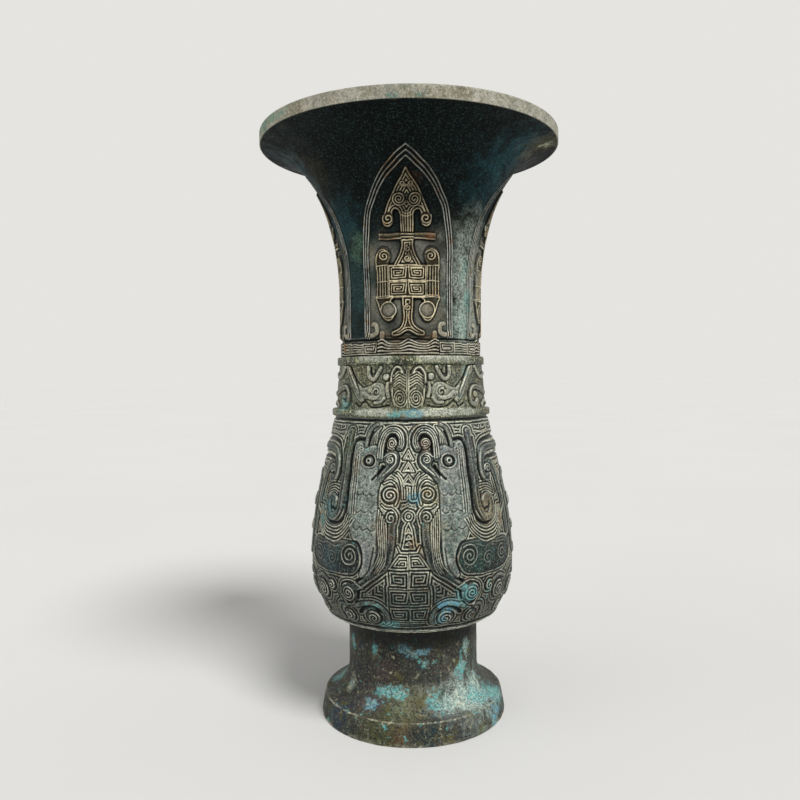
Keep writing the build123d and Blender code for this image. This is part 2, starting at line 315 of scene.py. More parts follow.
def blurred(height, cells):
    kernel = np.hanning(2 * cells + 3)[1:-1]
    kernel = kernel / kernel.sum()
    for axis in (0, 1):
        pad = [(cells, cells) if i == axis else (0, 0) for i in range(2)]
        wide = np.moveaxis(np.pad(height, pad, mode="edge"), axis, 0)
        count = height.shape[axis]
        height = np.moveaxis(sum(k * wide[i:i + count] for i, k in enumerate(kernel)), 0, axis)
    return height


def reliefHeight(sheet, lineRise):
    height = sheet["body"] + lineRise * sheet["line"] - sheet["cut"]
    return (height + blurred(height, 1)) / 2


# mesh work with Blender's own operators

weldGap = 0.002  # mm


def deselectAll():
    bpy.ops.object.select_all(action="DESELECT")


def pickOne(piece):
    deselectAll()
    piece.select_set(True)
    bpy.context.view_layer.objects.active = piece


def selectVertices(piece, wanted):  # in edit mode
    bpy.ops.object.mode_set(mode="OBJECT")
    mesh = piece.data
    flags = np.zeros(len(mesh.vertices), bool)
    flags[wanted] = True
    mesh.polygons.foreach_set("select", np.zeros(len(mesh.polygons), bool))
    mesh.edges.foreach_set("select", np.zeros(len(mesh.edges), bool))
    mesh.vertices.foreach_set("select", flags)
    bpy.ops.object.mode_set(mode="EDIT")


def faceOutward():
    bpy.ops.mesh.select_all(action="SELECT")
    bpy.ops.mesh.normals_make_consistent(inside=False)
    bpy.ops.object.mode_set(mode="OBJECT")


def paintRelief(mesh, paint):
    mesh.attributes.new("relief", "FLOAT_COLOR", "POINT").data.foreach_set("color", paint.ravel())


def reliefPaint(sheet, height):  # worn edges with a painted highlight, raised bodies, painted shade in hollows and between lines, and tone as one colour
    crisp = sheet["line"] ** relief["thin"]
    lift = height - blurred(height, relief["blur"])
    between = (blurred(sheet["line"], relief["blur"]) - crisp) * relief["between"]
    wearAndHighlight = np.maximum(crisp, lift / relief["wearFull"])
    hollowShade = np.maximum(between, -lift / relief["hollowFull"])
    layers = [wearAndHighlight, sheet["body"] / relief["bodyFull"], hollowShade, 0.5 + 0.5 * sheet["tone"]]
    return np.clip(np.stack(layers, axis=-1), 0, 1)


def wrappedGrid(name, sheet, height=None):
    rows, columns = sheet["near"].shape
    deselectAll()
    bpy.ops.mesh.primitive_grid_add(x_subdivisions=columns - 1, y_subdivisions=rows - 1, size=1)
    piece = bpy.context.object
    piece.name = name
    mesh = piece.data
    co = np.empty(len(mesh.vertices) * 3)
    mesh.vertices.foreach_get("co", co)
    co = co.reshape(-1, 3)
    col = np.rint((co[:, 0] + 0.5) * (columns - 1)).astype(int)
    row = np.rint((co[:, 1] + 0.5) * (rows - 1)).astype(int)
    slopeR, slopeZ = np.gradient(sheet["r"], sheet["v"]), np.gradient(sheet["z"], sheet["v"])
    length = np.hypot(slopeR, slopeZ)
    rise = np.zeros((rows, columns)) if height is None else height
    reach = sheet["r"][:, None] + rise * (slopeZ / length)[:, None]
    up = sheet["z"][:, None] - rise * (slopeR / length)[:, None]
    a = np.radians(sheet["angle"])[None, :]
    placed = np.stack([reach * np.sin(a), -reach * np.cos(a), up + 0 * a], axis=-1) * mm
    mesh.vertices.foreach_set("co", placed[row, col].ravel())
    if height is not None:
        paintRelief(mesh, reliefPaint(sheet, height)[row, col])
    mesh.update()
    index = np.empty((rows, columns), int)
    index[row, col] = np.arange(len(row))
    return piece, index


def fillAcross(piece, wanted):  # an edge between two points, or a face over a ring of them
    selectVertices(piece, wanted)
    bpy.ops.mesh.edge_face_add()


def closePanel(piece, index, inner):  # walls along the four edges of a relief face and its back
    bpy.ops.mesh.select_mode(type="VERT")
    for row in (0, -1):
        for col in (0, -1):
            fillAcross(piece, [index[row, col], inner[row, col]])
    for side in (0, -1):
        fillAcross(piece, np.concatenate([index[side, :], inner[side, :]]))
        fillAcross(piece, np.concatenate([index[:, side], inner[:, side]]))


def closeRing(piece, index, inner):  # walls at both ends of a ring, whose seam is welded
    bpy.ops.mesh.select_mode(type="EDGE")
    for row in (0, -1):
        selectVertices(piece, np.concatenate([index[row, :], inner[row, :]]))
        bpy.ops.mesh.bridge_edge_loops()
    bpy.ops.mesh.select_all(action="SELECT")
    bpy.ops.mesh.remove_doubles(threshold=weldGap * mm)


def castPiece(name, sheet, height, backSheet, close):  # a relief face and its back as one solid
    piece, index = wrappedGrid(name, sheet, height)
    back, backIndex = wrappedGrid(name + "_inside", backSheet)
    pickOne(piece)
    back.select_set(True)
    bpy.ops.object.join()
    bpy.ops.object.mode_set(mode="EDIT")
    close(piece, index, backIndex + index.size)
    faceOutward()
    return piece


def shadeSmooth(piece, limit=62):
    pickOne(piece)
    bpy.ops.object.shade_smooth_by_angle(angle=radians(limit))


def turnedCopy(piece, name, turn):  # its own mesh, turned about the axis
    pickOne(piece)
    bpy.ops.object.duplicate(linked=False)
    copy = bpy.context.object
    copy.name = name
    copy.rotation_euler.z = radians(turn)
    bpy.ops.object.transform_apply(location=True, rotation=True, scale=True)
    return copy


def mirrorPiece(piece):
    pickOne(piece)
    piece.scale.x = -1
    bpy.ops.object.transform_apply(location=True, rotation=True, scale=True)
    bpy.ops.object.mode_set(mode="EDIT")
    faceOutward()


def turnedRing(name, outline, segments):  # a closed outline carried round the axis, ring by ring
    deselectAll()
    radius, level = outline[0]
    bpy.ops.mesh.primitive_circle_add(vertices=segments, radius=radius * mm)
    piece = bpy.context.object
    piece.name = name
    bpy.ops.object.mode_set(mode="EDIT")
    bpy.ops.mesh.select_mode(type="EDGE")
    bpy.ops.mesh.select_all(action="SELECT")
    bpy.ops.transform.translate(value=(0, 0, level * mm))
    for nextRadius, nextLevel in outline[1:]:
        rise = (0, 0, (nextLevel - level) * mm)
        bpy.ops.mesh.extrude_region_move(TRANSFORM_OT_translate={"value": rise})
        scale = nextRadius / radius
        bpy.ops.transform.resize(value=(scale, scale, 1), center_override=(0, 0, nextLevel * mm))
        radius, level = nextRadius, nextLevel
    bpy.ops.mesh.select_all(action="DESELECT")
    bpy.ops.mesh.select_non_manifold()
    bpy.ops.mesh.bridge_edge_loops()
    faceOutward()
    return piece


def castUnevenness(piece, size, depth):
    clouds = bpy.data.textures.new(piece.name + "Skin", "CLOUDS")
    clouds.noise_scale = size
    clouds.noise_depth = 3
    skin = piece.modifiers.new("castSkin", "DISPLACE")
    skin.texture = clouds
    skin.texture_coords = "LOCAL"
    skin.strength = depth
    skin.mid_level = 0.5
    pickOne(piece)
    bpy.ops.object.modifier_apply(modifier="castSkin")


# materials

def colour(red, green, blue):  # screen values of 0 to 255, made linear as the shader wants them
    parts = [c / 255 for c in (red, green, blue)]
    return tuple([c / 12.92 if c <= 0.04045 else ((c + 0.055) / 1.055) ** 2.4 for c in parts] + [1.0])


def startMaterial(name):
    material = bpy.data.materials.new(name)
    material.use_nodes = True
    tree = material.node_tree
    place = tree.nodes.new("ShaderNodeTexCoord").outputs["Object"]
    return SimpleNamespace(material=material, nodes=tree.nodes, links=tree.links, place=place,
                           shader=tree.nodes["Principled BSDF"])


def link(graph, source, target):
    if hasattr(source, "is_linked"):
        graph.links.new(source, target)
    else:
        target.default_value = source


def vectorMaths(graph, operation, first, second):
    node = graph.nodes.new("ShaderNodeVectorMath")
    node.operation = operation
    link(graph, first, node.inputs[0])
    link(graph, second, node.inputs[1])
    return node.outputs["Value" if operation == "DISTANCE" else "Vector"]


def noise(graph, scale, detail=5.0, rough=0.6, twist=0.0, shift=0.0):
    node = graph.nodes.new("ShaderNodeTexNoise")
    node.inputs["Scale"].default_value = scale
    node.inputs["Detail"].default_value = detail
    node.inputs["Roughness"].default_value = rough
    node.inputs["Distortion"].default_value = twist
    place = vectorMaths(graph, "ADD", graph.place, (shift, shift, shift)) if shift else graph.place
    graph.links.new(place, node.inputs["Vector"])
    return node.outputs["Fac"]


def rangeOf(graph, value, low, high, toLow=0.0, toHigh=1.0):
    node = graph.nodes.new("ShaderNodeMapRange")
    node.interpolation_type = "SMOOTHSTEP"
    for socket, number in zip(("From Min", "From Max", "To Min", "To Max"), (low, high, toLow, toHigh)):
        node.inputs[socket].default_value = number
    graph.links.new(value, node.inputs["Value"])
    return node.outputs["Result"]


def maths(graph, operation, first, second):
    node = graph.nodes.new("ShaderNodeMath")
    node.operation = operation
    link(graph, first, node.inputs[0])
    link(graph, second, node.inputs[1])
    return node.outputs["Value"]


def times(graph, first, second):
    return maths(graph, "MULTIPLY", first, second)


def blendColour(graph, factor, first, second):  # a tint is three screen values, or another node's
    node = graph.nodes.new("ShaderNodeMix")
    node.data_type = "RGBA"
    link(graph, factor, node.inputs["Factor"])
    for socket, tint in (("A", first), ("B", second)):
        link(graph, colour(*tint) if isinstance(tint, tuple) else tint, node.inputs[socket])
    return node.outputs["Result"]


def surfacePoint(angle, radius, level):  # on the vessel, in metres
    a = radians(angle)
    return (radius * sin(a) * mm, -radius * cos(a) * mm, level * mm)


grain = {  # scale, detail, roughness, twist and shift of each noise
    "broad": (30, 4, 0.6, 0.4), "middle": (150, 5, 0.65, 0.3), "small": (480, 5, 0.7),
    "fine": (1100, 4, 0.7), "speck": (1250, 4, 0.75, 0.3, 0.17), "pit": (1500, 3, 0.75, 0.0, 0.53),
}
coats = {  # noise that breaks up each coat, where in it the coat begins and is full, least and full share
    "haze": ("broad", 0.38, 0.62), "brown": ("middle", 0.5, 0.64, 0, 0.65), "grit": ("small", 0.54, 0.66),
    "stain": ("fine", 0.41, 0.57), "stainToo": ("small", 0.38, 0.56, 0.45, 1.0),
    "paleToo": ("small", 0.4, 0.6), "paleBroad": ("broad", 0.5, 0.62, 0, 0.6),
    "paleFine": ("fine", 0.5, 0.6, 0, 0.7), "pale": ("middle", 0.34, 0.56),
    "speckle": ("speck", 0.52, 0.66), "pitted": ("pit", 0.54, 0.65), "line": ("middle", 0.36, 0.56),
    "dullLine": ("small", 0.5, 0.64, 0, 0.6), "crumb": ("speck", 0.4, 0.6),
    "spot": ("fine", 0.38, 0.54, 0.2, 0.95), "spotToo": ("small", 0.38, 0.56, 0, 0.85),
    "rough": ("middle", 0.3, 0.7),
}
patina = {
    "tear": {"middle": 3.2, "small": 3.2, "fine": 1.6},  # raggedness of a patch
    "stainSoft": 0.7, "stainLeast": 0.14, "spotSoft": 0.3,
    "shade": (0.5, 0.0, 0, 0.95), "pale": (0.5, 1.0), "lineTone": (0.0, 0.5, 0.45, 1.0),  # over the tone, which carries painted light and painted shade as well as the patina's own tone
    "warmNoise": (120, 5, 0.65, 0.3, 0.71), "warm": (0.54, 0.66, 0, 0.75),
    "fleckNoise": (6, 0.72, 0.2), "fleckEdge": 0.08,
    "roughFrom": -0.1, "roughTo": 0.12, "crustRough": 0.22,
    "fineBump": 0.6, "smallBump": 0.6, "crustBump": 0.5, "bumpHeight": 0.6,  # height in mm
}


def breakUp(graph, coat, *shares):
    name, *limits = coats[coat]
    return rangeOf(graph, graph.grain[name], *limits, *shares)


def blot(graph, place, size, soft, stretch=(1, 1, 1)):  # a patch round a point, with a torn edge
    centre = surfacePoint(*place)
    stretched = vectorMaths(graph, "MULTIPLY", graph.place, stretch)
    gap = vectorMaths(graph, "DISTANCE", stretched, tuple(c * k for c, k in zip(centre, stretch)))
    for name, share in patina["tear"].items():
        torn = times(graph, maths(graph, "SUBTRACT", graph.grain[name], 0.5), size * mm * share)
        gap = maths(graph, "ADD", gap, torn)
    return rangeOf(graph, gap, size * mm * (1 + soft), size * mm * (1 - soft))


def readRelief(graph):  # the layers that are painted on a relief
    attribute = graph.nodes.new("ShaderNodeAttribute")
    attribute.attribute_name = "relief"
    split = graph.nodes.new("ShaderNodeSeparateColor")
    graph.links.new(attribute.outputs["Color"], split.inputs["Color"])
    wearAndHighlight, body, hollowShade = (split.outputs[part] for part in ("Red", "Green", "Blue"))
    return wearAndHighlight, body, hollowShade, attribute.outputs["Alpha"]


def hazesAndSheenOf(graph, look):  # soft hazes of other colours, among them a painted highlight down the right of the neck
    hazesAndSheen = []
    for *place, size, tint, share in look["hazes"]:
        broken = breakUp(graph, "stain", patina["stainLeast"] * share, share)
        broken = times(graph, broken, breakUp(graph, "stainToo"))
        hazesAndSheen.append((times(graph, blot(graph, place, size, patina["stainSoft"]), broken), tint))
    return hazesAndSheen


def paleCoat(graph, look, base, tone):  # bare pale metal and painted light where the tone is high
    pale = look["pale"]
    for coat in ("paleToo", "paleBroad", "paleFine"):
        pale = blendColour(graph, breakUp(graph, coat), pale, look[coat])
    broken = breakUp(graph, "pale", look["paleLow"], 1.0)
    return blendColour(graph, times(graph, rangeOf(graph, tone, *patina["pale"]), broken), base, pale)


def wornMetalAndHighlight(graph, look, body, hazesAndSheen):  # colour of the rubbed lines and edges, which also stands for their painted highlight
    wornAndLit = blendColour(graph, body, look["groundLine"], look["bodyLine"])
    wornAndLit = blendColour(graph, breakUp(graph, "dullLine"), wornAndLit, look["dullLine"])
    warm = rangeOf(graph, noise(graph, *patina["warmNoise"]), *patina["warm"])
    wornAndLit = blendColour(graph, warm, wornAndLit, look["warmLine"])
    for stain, tint in hazesAndSheen:
        wornAndLit = blendColour(graph, times(graph, stain, look["lineStain"]), wornAndLit, tint)
    return wornAndLit


def crustCoat(graph, look, base):  # flecks all over and single spots, and where they lie
    crust = 0.0
    for scale, shift, low, share, tint in look["flecks"]:
        flecks = noise(graph, scale, *patina["fleckNoise"], shift)
        mask = rangeOf(graph, flecks, low, low + patina["fleckEdge"], 0, share)
        base = blendColour(graph, mask, base, tint)
        crust = maths(graph, "MAXIMUM", crust, mask)
    crumbs = blendColour(graph, breakUp(graph, "crumb"), look["crumb"], look["crumbToo"])
    for *place, size, tint, stretch in look["spots"]:
        spot = blot(graph, place, size, patina["spotSoft"], stretch)
        mask = times(graph, spot, breakUp(graph, "spot"))
        mottled = blendColour(graph, breakUp(graph, "spotToo"), tint, crumbs)
        base = blendColour(graph, mask, base, mottled)
        crust = maths(graph, "MAXIMUM", crust, mask)
    return base, crust


def surfaceOf(graph, look, rubbedAndHighlit, crust):  # shine, roughness and small pits
    shine = maths(graph, "ADD", times(graph, rubbedAndHighlit, look["lineMetal"]), look["metal"])
    shine = times(graph, shine, maths(graph, "SUBTRACT", 1.0, crust))
    graph.links.new(shine, graph.shader.inputs["Metallic"])
    smooth, coarse = (look["rough"] + patina[end] for end in ("roughFrom", "roughTo"))
    rough = breakUp(graph, "rough", smooth, coarse)
    rough = maths(graph, "ADD", rough, times(graph, crust, patina["crustRough"]))
    graph.links.new(rough, graph.shader.inputs["Roughness"])
    graph.shader.inputs["Specular IOR Level"].default_value = look["gloss"]
    pits = times(graph, graph.grain["fine"], patina["fineBump"])
    pits = maths(graph, "ADD", pits, times(graph, crust, patina["crustBump"]))
    pits = maths(graph, "ADD", pits, times(graph, graph.grain["small"], patina["smallBump"]))
    bump = graph.nodes.new("ShaderNodeBump")
    bump.inputs["Strength"].default_value = look["pits"]
    bump.inputs["Distance"].default_value = patina["bumpHeight"] * mm
    graph.links.new(pits, bump.inputs["Height"])
    graph.links.new(bump.outputs["Normal"], graph.shader.inputs["Normal"])


def patinaBronze(name, look):
    graph = startMaterial(name)
    graph.grain = {each: noise(graph, *settings) for each, settings in grain.items()}
    base = blendColour(graph, breakUp(graph, "haze"), look["dark"], look["haze"])
    base = blendColour(graph, breakUp(graph, "brown"), base, look["brown"])
    base = blendColour(graph, breakUp(graph, "grit", 0, look["grit"]), base, look["gritColour"])
    if look["relief"]:
        wearAndHighlight, body, hollowShade, tone = readRelief(graph)
        base = blendColour(graph, times(graph, body, look["bodyShare"]), base, look["body"])
        # the low end of the tone: dark patina on some bands, and painted shade low on the belly, on the
        # flare and under the collar ribs
        base = blendColour(graph, rangeOf(graph, tone, *patina["shade"]), base, look["shade"])
    hazesAndSheen = hazesAndSheenOf(graph, look)
    for stain, tint in hazesAndSheen:
        base = blendColour(graph, stain, base, tint)
    if look["relief"]:
        # the high end of the tone: pale metal, and painted light on the belly's shoulder, the rim and the
        # collar rib tops
        base = paleCoat(graph, look, base, tone)
    base = blendColour(graph, breakUp(graph, "speckle", 0, look["speckle"]), base, look["speckColour"])
    rubbedAndHighlit = 0.0
    if look["relief"]:
        # rubbed lines and edges with a painted highlight, dimmer where the tone is low
        rubbedAndHighlit = times(graph, wearAndHighlight, breakUp(graph, "line", look["lineLow"], 1.0))
        rubbedAndHighlit = times(graph, rubbedAndHighlit, rangeOf(graph, tone, *patina["lineTone"]))
        base = blendColour(graph, rubbedAndHighlit, base, wornMetalAndHighlight(graph, look, body, hazesAndSheen))
    base = blendColour(graph, breakUp(graph, "pitted", 0, look["pitted"]), base, look["deep"])
    base, crust = crustCoat(graph, look, base)
    if look["relief"]:
        # painted shade in the hollows and between the lines, and on the foot a painted shadow under the
        # belly
        base = blendColour(graph, times(graph, hollowShade, look["hollowShare"]), base, look["deep"])
    graph.links.new(base, graph.shader.inputs["Base Color"])
    surfaceOf(graph, look, rubbedAndHighlit, crust)
    return graph.material


# tints as screen values, and the ways a spot may be stretched

turquoise = (104, 178, 176)
paleBlue = (104, 160, 180)
cream = (178, 174, 146)
silver = (132, 142, 132)
tealHaze = (34, 76, 84)
tealDark = (22, 50, 54)
rust = (112, 82, 46)
plain, upright, flatWide = (1, 1, 1), (1.6, 1.6, 0.7), (0.75, 0.75, 1.7)


def finishPiece(piece, material, *nodes):
    piece.data.materials.clear()
    piece.data.materials.append(material)
    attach(piece, "root")
    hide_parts(*nodes)


# belly: four cast panels, each with one bird

belly = {
    "edge": 35.2, "low": 43.5, "radius": 43.6, "widest": 67.0, "shoulder": (40.3, 97.3),
    "top": (33.3, 128.5), "wall": 4.0, "floorCorner": (33.0, 47.5), "hole": 26.0,
    "columns": 272, "rows": 338, "backColumns": 25, "backRows": 36, "lineRise": 0.36,
    "arcSteps": 40, "backSteps": (14, 10), "span": (0, 90), "seeds": (3, 41),
    "bead": 45.3, "beadWidth": 1.7, "beadRise": 0.55, "beadLine": (0.5, 0.9), "beadHalf": 0.7,
    "topGroove": 127.7, "grooveCut": (0.8, 0.4),  # width and depth
    "paleTop": (112, 123, 0.55), "darkFoot": (56, 76, -0.8), "darkLines": (56, 72, -0.4),  # levels and tone: painted light on the shoulder, painted shade low on the belly
    "beadTone": 0.4, "groundCell": (9.6, 7.0), "groundStart": 4.2,
    "voluteRise": 0.85, "voluteTurns": 1.6, "voluteCoil": 0.9,
}


def bellyOutline():
    outline = [(belly["edge"], belly["low"])]
    widest = (belly["radius"], belly["widest"])
    lean = 2 * atan2(widest[0] - belly["edge"], widest[1] - belly["low"])
    lean = tangentArc(outline, widest, lean, belly["arcSteps"])
    tangentArc(outline, belly["shoulder"], lean, belly["arcSteps"])
    outline.append(belly["top"])
    return outline


def bellyInside():
    wall, corner = belly["wall"], belly["floorCorner"]
    lowSteps, highSteps = belly["backSteps"]
    outline = [(belly["hole"], belly["low"]), (belly["hole"], corner[1]), corner]
    widest = (belly["radius"] - wall, belly["widest"])
    lean = 2 * atan2(widest[0] - corner[0], widest[1] - corner[1])
    lean = tangentArc(outline, widest, lean, lowSteps)
    tangentArc(outline, (belly["shoulder"][0] - wall, belly["shoulder"][1]), lean, highSteps)
    outline.append((belly["top"][0] - wall, belly["top"][1]))
    return outline


def birdHead(sheet):
    raisePatch(sheet, [  # beak
        (17.4, 113.4), (14.4, 114.6), (11, 116), (7.6, 115), (5.9, 112.6), (6.6, 110), (9.6, 107.8),
        (13.4, 105.6), (16.4, 103.2), (18.6, 104.6), (16, 107.4), (13.6, 109.6), (14.6, 111.4),
    ], 0.8, 0.2)
    thread(sheet, [(15, 113.2), (11, 114.7), (7.8, 113.6), (7.4, 111), (10.4, 108.8), (15, 106)])
    coil(sheet, (10.8, 112.2), 1.7, 1.6, 100, -1, 0.4)
    cutLine(sheet, [(15.6, 109.4), (18.4, 107), (21.8, 104.4)], 1.0, 0.75)
    crest = [(17.3, 112.6), (17.3, 117.6), (15.8, 121.4), (12.2, 123.4), (7.6, 123.5), (4.7, 121.4),
             (4.3, 118.6), (5.6, 116.8)]
    raiseBand(sheet, crest, 2.9, 0.8, 0.1)
    lean = [(1.4, 0), (1.4, 0), (1, 0.75), (0.3, 1), (-0.3, 1), (-1, 0.6), (-1.4, 0), (-1, -0.3)]
    for inset in (-0.95, 0.0, 0.95):
        loop = [(a + inset * da, z + inset * dz) for (a, z), (da, dz) in zip(crest, lean)]
        thread(sheet, loop, 0.42, 0.95)
    cutLine(sheet, [
        (14.9, 113.6), (14.7, 117), (13.6, 119.8), (11.4, 121.2), (8.4, 121.2), (6.8, 119.6),
    ], 0.75, 0.5)
    curl(sheet, (10.6, 118.6), 2.5, 0.65, 2.3, 2.2, 250, 1, 0.4)
    raiseBand(sheet, [(28.4, 116.8), (27.6, 121), (25.4, 124.2), (21.8, 125.8)], 1.5, 0.7)  # plume
    cutLine(sheet, [(26.4, 117.6), (26.2, 120.4), (24.6, 122.8)], 0.8, 0.5)
    for i in range(4):
        thread(sheet, [
            (25.4 - i * 1.5, 117.9 + i * 0.2), (23.6 - i, 121 + i * 0.4),
            (21 - i * 0.8, 123.4 + i * 0.5),
        ], 0.4, 0.85)
    eye = (24.8, 111.5)
    raiseDome(sheet, [eye], 3.3, 0.95, 0.1)
    cutLine(sheet, ring(sheet, eye, 2.2), 0.8, 0.55)
    thread(sheet, ring(sheet, eye, 3.2, 0.85), 0.42, 0.8)
    thread(sheet, ring(sheet, eye, 0.9), 0.4, 1.0)
    cutLine(sheet, [(21.4, 109.2), (23.4, 108.6), (26, 108.9)], 0.6, 0.4)


def birdBreast(sheet):
    raisePatch(sheet, [  # head, breast and thigh as one smooth body
        (17.6, 113), (18.6, 116.6), (23.5, 117.6), (28, 116.4), (32, 118.6), (36, 118.4), (37.2, 114),
        (36.8, 104), (36.2, 93), (34.6, 88.5), (33, 84), (31, 81), (27.6, 80), (25, 76.5), (24.6, 72),
        (26.6, 67.6), (24, 66.4), (19.6, 68.4), (18, 73), (17.2, 80), (17.2, 90), (17.4, 99),
        (16.6, 103.5), (19, 106.5),
    ], 0.72, 0.72, 0.5)
    for level in (98.8, 92.2, 85.4):  # scale lines across the breast
        wavy = [(18 + i * 0.45, level - 1.1 * abs(sin(i * pi / 10)) + 0.5) for i in range(31)]
        cutLine(sheet, wavy, 0.42, 0.3, smooth=False)
    for k in range(3):  # ribbed strip down the back
        a = 31.6 + 1.6 * k
        thread(sheet, [(a + 0.4, 117 - 0.64 * k), (a, 108), (a - 0.5, 99), (a - 1, 91)], 0.42, 0.75)
    for reach in (1.0, 2.2, 3.4):  # feathers behind the head
        thread(sheet, [
            (29.2, 116.4 - reach * 0.2), (31.6, 117.6 - reach), (34.4, 116 - reach),
            (35.4, 113 - reach),
        ], 0.4, 0.7)


def birdLegs(sheet):
    curl(sheet, (10.2, 98.8), 3.4, 0.9, 3.1, 2.1, 160, -1, 0.45, 0.15)  # claws in front of the breast
    thread(sheet, [(14.4, 103), (10.4, 104.2), (7, 102.4), (5.8, 98.6), (7, 95)], 0.45)
    thread(sheet, [(9, 107), (5.6, 105.4), (3.9, 101.8), (3.6, 97.6)], 0.45)
    thread(sheet, [(6.6, 107.4), (4.0, 105), (2.5, 101.4), (2.2, 97.6)], 0.45)
    curl(sheet, (9.6, 90.2), 2.6, 0.85, 2.3, 1.5, 120, -1, 0.42, 0.15)
    thread(sheet, [(15, 95), (12.4, 93.6), (8.4, 93.4), (6, 91.2), (6.6, 88)], 0.45)
    for i in range(5):  # ribbed leg
        leg = [(16.6 - i * 1.05, 93 - i * 1.1), (16.4 - i * 1.15, 85), (15.6 - i, 78),
               (17.2 - i * 1.15, 72.4), (19.8 - i * 1.1, 69.6 - i * 0.25)]
        thread(sheet, leg, 0.42, 0.9)
    raiseBand(sheet, [  # smooth shin in front of it
        (8.8, 87.6), (8.9, 82), (9.9, 76.6), (12.0, 72.2), (15.8, 68.9), (20.8, 66.2), (26, 63.6),
        (29.4, 62.6),
    ], 3.0, 0.85, -0.6)
    cutLine(sheet, [(18.6, 78.4), (20.2, 71.6), (23.6, 67.2), (28.4, 65)], 0.7, 0.35)
    thread(sheet, [(12.6, 69.4), (17.6, 67.2), (22.4, 64.5), (27.6, 62)])


def birdTail(sheet):
    raiseBand(sheet, [  # a band down the back that rolls into a big curl
        (42.3, 122.6), (42.6, 115), (42.4, 105), (42, 96.4), (42.6, 92), (45.4, 89), (49.4, 88.6),
        (52.6, 91), (52.8, 94.4), (50, 96.4), (47.6, 95.4),
    ], 3.0, 0.85, -0.5)
    cutLine(sheet, [
        (30.6, 119.8), (34.6, 119.9), (37.8, 118.6), (38.9, 115), (38.6, 104), (38.2, 93), (39.2, 89.2),
        (42.4, 86.8), (47.6, 85.9), (52.6, 87.2), (55.6, 90.6),
    ], 1.15, 0.7)
    cutLine(sheet, [(46.2, 120), (46.2, 108), (45.6, 98), (44.8, 95.4)], 0.8, 0.55)
    thread(sheet, [
        (41.2, 121), (41.4, 108), (40.9, 96), (41.6, 91.2), (45, 87.8), (50, 87.4), (54, 90.6),
        (54.2, 95),
    ], 0.42, 0.7)
    cutLine(sheet, [(44.8, 95.4), (45.2, 92.8), (47, 91.4), (49.2, 92)], 0.8, 0.5)
    raiseDome(sheet, [(48.4, 94)], 1.9, 0.8)
    raiseBand(sheet, [  # hook behind the tail
        (90, 115.6), (72, 115.6), (58, 115.4), (53.4, 113), (50.9, 109), (50.6, 105.4), (53, 103.2),
        (55.6, 104),
    ], 2.8, 0.85, -0.45)
    cutLine(sheet, [
        (90, 119.6), (70, 119.4), (56, 118.6), (50.8, 115.4), (48.4, 110.4), (47.9, 105.4), (50, 102),
    ], 1.0, 0.6)
    cutLine(sheet, [(90, 111.8), (70, 111.8), (58.6, 111.6), (54.6, 109.4)], 0.9, 0.6)
    curl(sheet, (56, 107.2), 2.3, 0.75, 2.0, 1.6, 200, -1)
    for i in range(4):  # lines between the hook and the curl
        thread(sheet, [
            (45.6 + i * 0.3, 98.6 + i * 1.25), (49.6, 99.4 + i), (53.6, 98.8 + i * 1.1),
            (57, 97.4 + i * 1.2),
        ], 0.4, 0.85)
    for i in range(5):  # nested barbs under the curl
        k = i * 1.28
        thread(sheet, [
            (37.6 - k * 1.35, 90.4 - k * 0.35), (38.4 - k * 0.7, 87.2 - k * 0.55),
            (42.4 - k * 0.25, 85 - k), (48, 84.3 - k), (54 + k * 0.2, 85.4 - k),
            (58 + k * 0.7, 88.4 - k * 0.6), (59.4 + k, 92),
        ], 0.45)


def birdSide(sheet):
    raiseBand(sheet, [(60, 108.6), (63.4, 104), (65.2, 96), (66, 88), (66.4, 81)], 3.2, 0.8, -0.5)
    cutLine(sheet, [(62.6, 109.4), (66.2, 104), (68.2, 96), (69, 88), (69.2, 80)], 0.9, 0.55)
    raiseBand(sheet, [
        (90, 104), (80, 104), (75.4, 101.4), (73.6, 96), (73.4, 86), (74.4, 76), (77.6, 71.4),
        (82, 70.6), (90, 71),
    ], 2.8, 0.8, -0.2)
    curl(sheet, (83, 92), 3.4, 0.85, 3.0, 2.0, 20, 1)
    curl(sheet, (83, 81), 2.6, 0.75, 2.3, 1.6, 200, -1)


def birdWing(sheet):
    raisePatch(sheet, [
        (26.8, 78), (30, 79.8), (36, 80.2), (44, 79.2), (54, 79), (61, 79.2), (66.4, 77), (68.2, 73.4),
        (66, 69.6), (61, 67), (52, 66.2), (42, 66.4), (34, 66.6), (29, 68), (26, 71.4), (25.6, 75),
    ], 0.62, -0.7, 0.5)
    thread(sheet, [
        (27.6, 78), (25.8, 74.6), (26.4, 71.2), (29.4, 68.2), (35, 67.2), (44, 66.8), (53, 66.9),
        (60.6, 67.8), (65.4, 70), (67.2, 73.4),
    ], 0.45, 0.95)
    coil(sheet, (32.6, 74.6), 4.5, 2.4, 130, -1, 0.45, 0.95)
    coil(sheet, (45.4, 72.6), 2.7, 1.7, 40, 1, 0.42, 0.8)
    coil(sheet, (57.6, 73), 3.4, 1.9, 60, 1, 0.42, 0.8)
    thread(sheet, [(37.6, 78.4), (43, 77.2), (49, 78.2), (54, 77.6), (62, 77.4)], 0.42, 0.7)


bellyVolutes = [  # centre, size, start of the spiral, hand
    ((34.2, 59.8), 4.2, 80, -1), ((55.6, 58.4), 4.0, 70, 1), ((20.4, 50.6), 3.4, 60, 1),
    ((37, 50.2), 2.8, 100, 1), ((46.6, 61.4), 2.3, 40, 1), ((72, 58), 4.0, 110, -1),
    ((62, 50), 3.0, 80, 1), ((84, 52.4), 3.2, 100, -1),
]


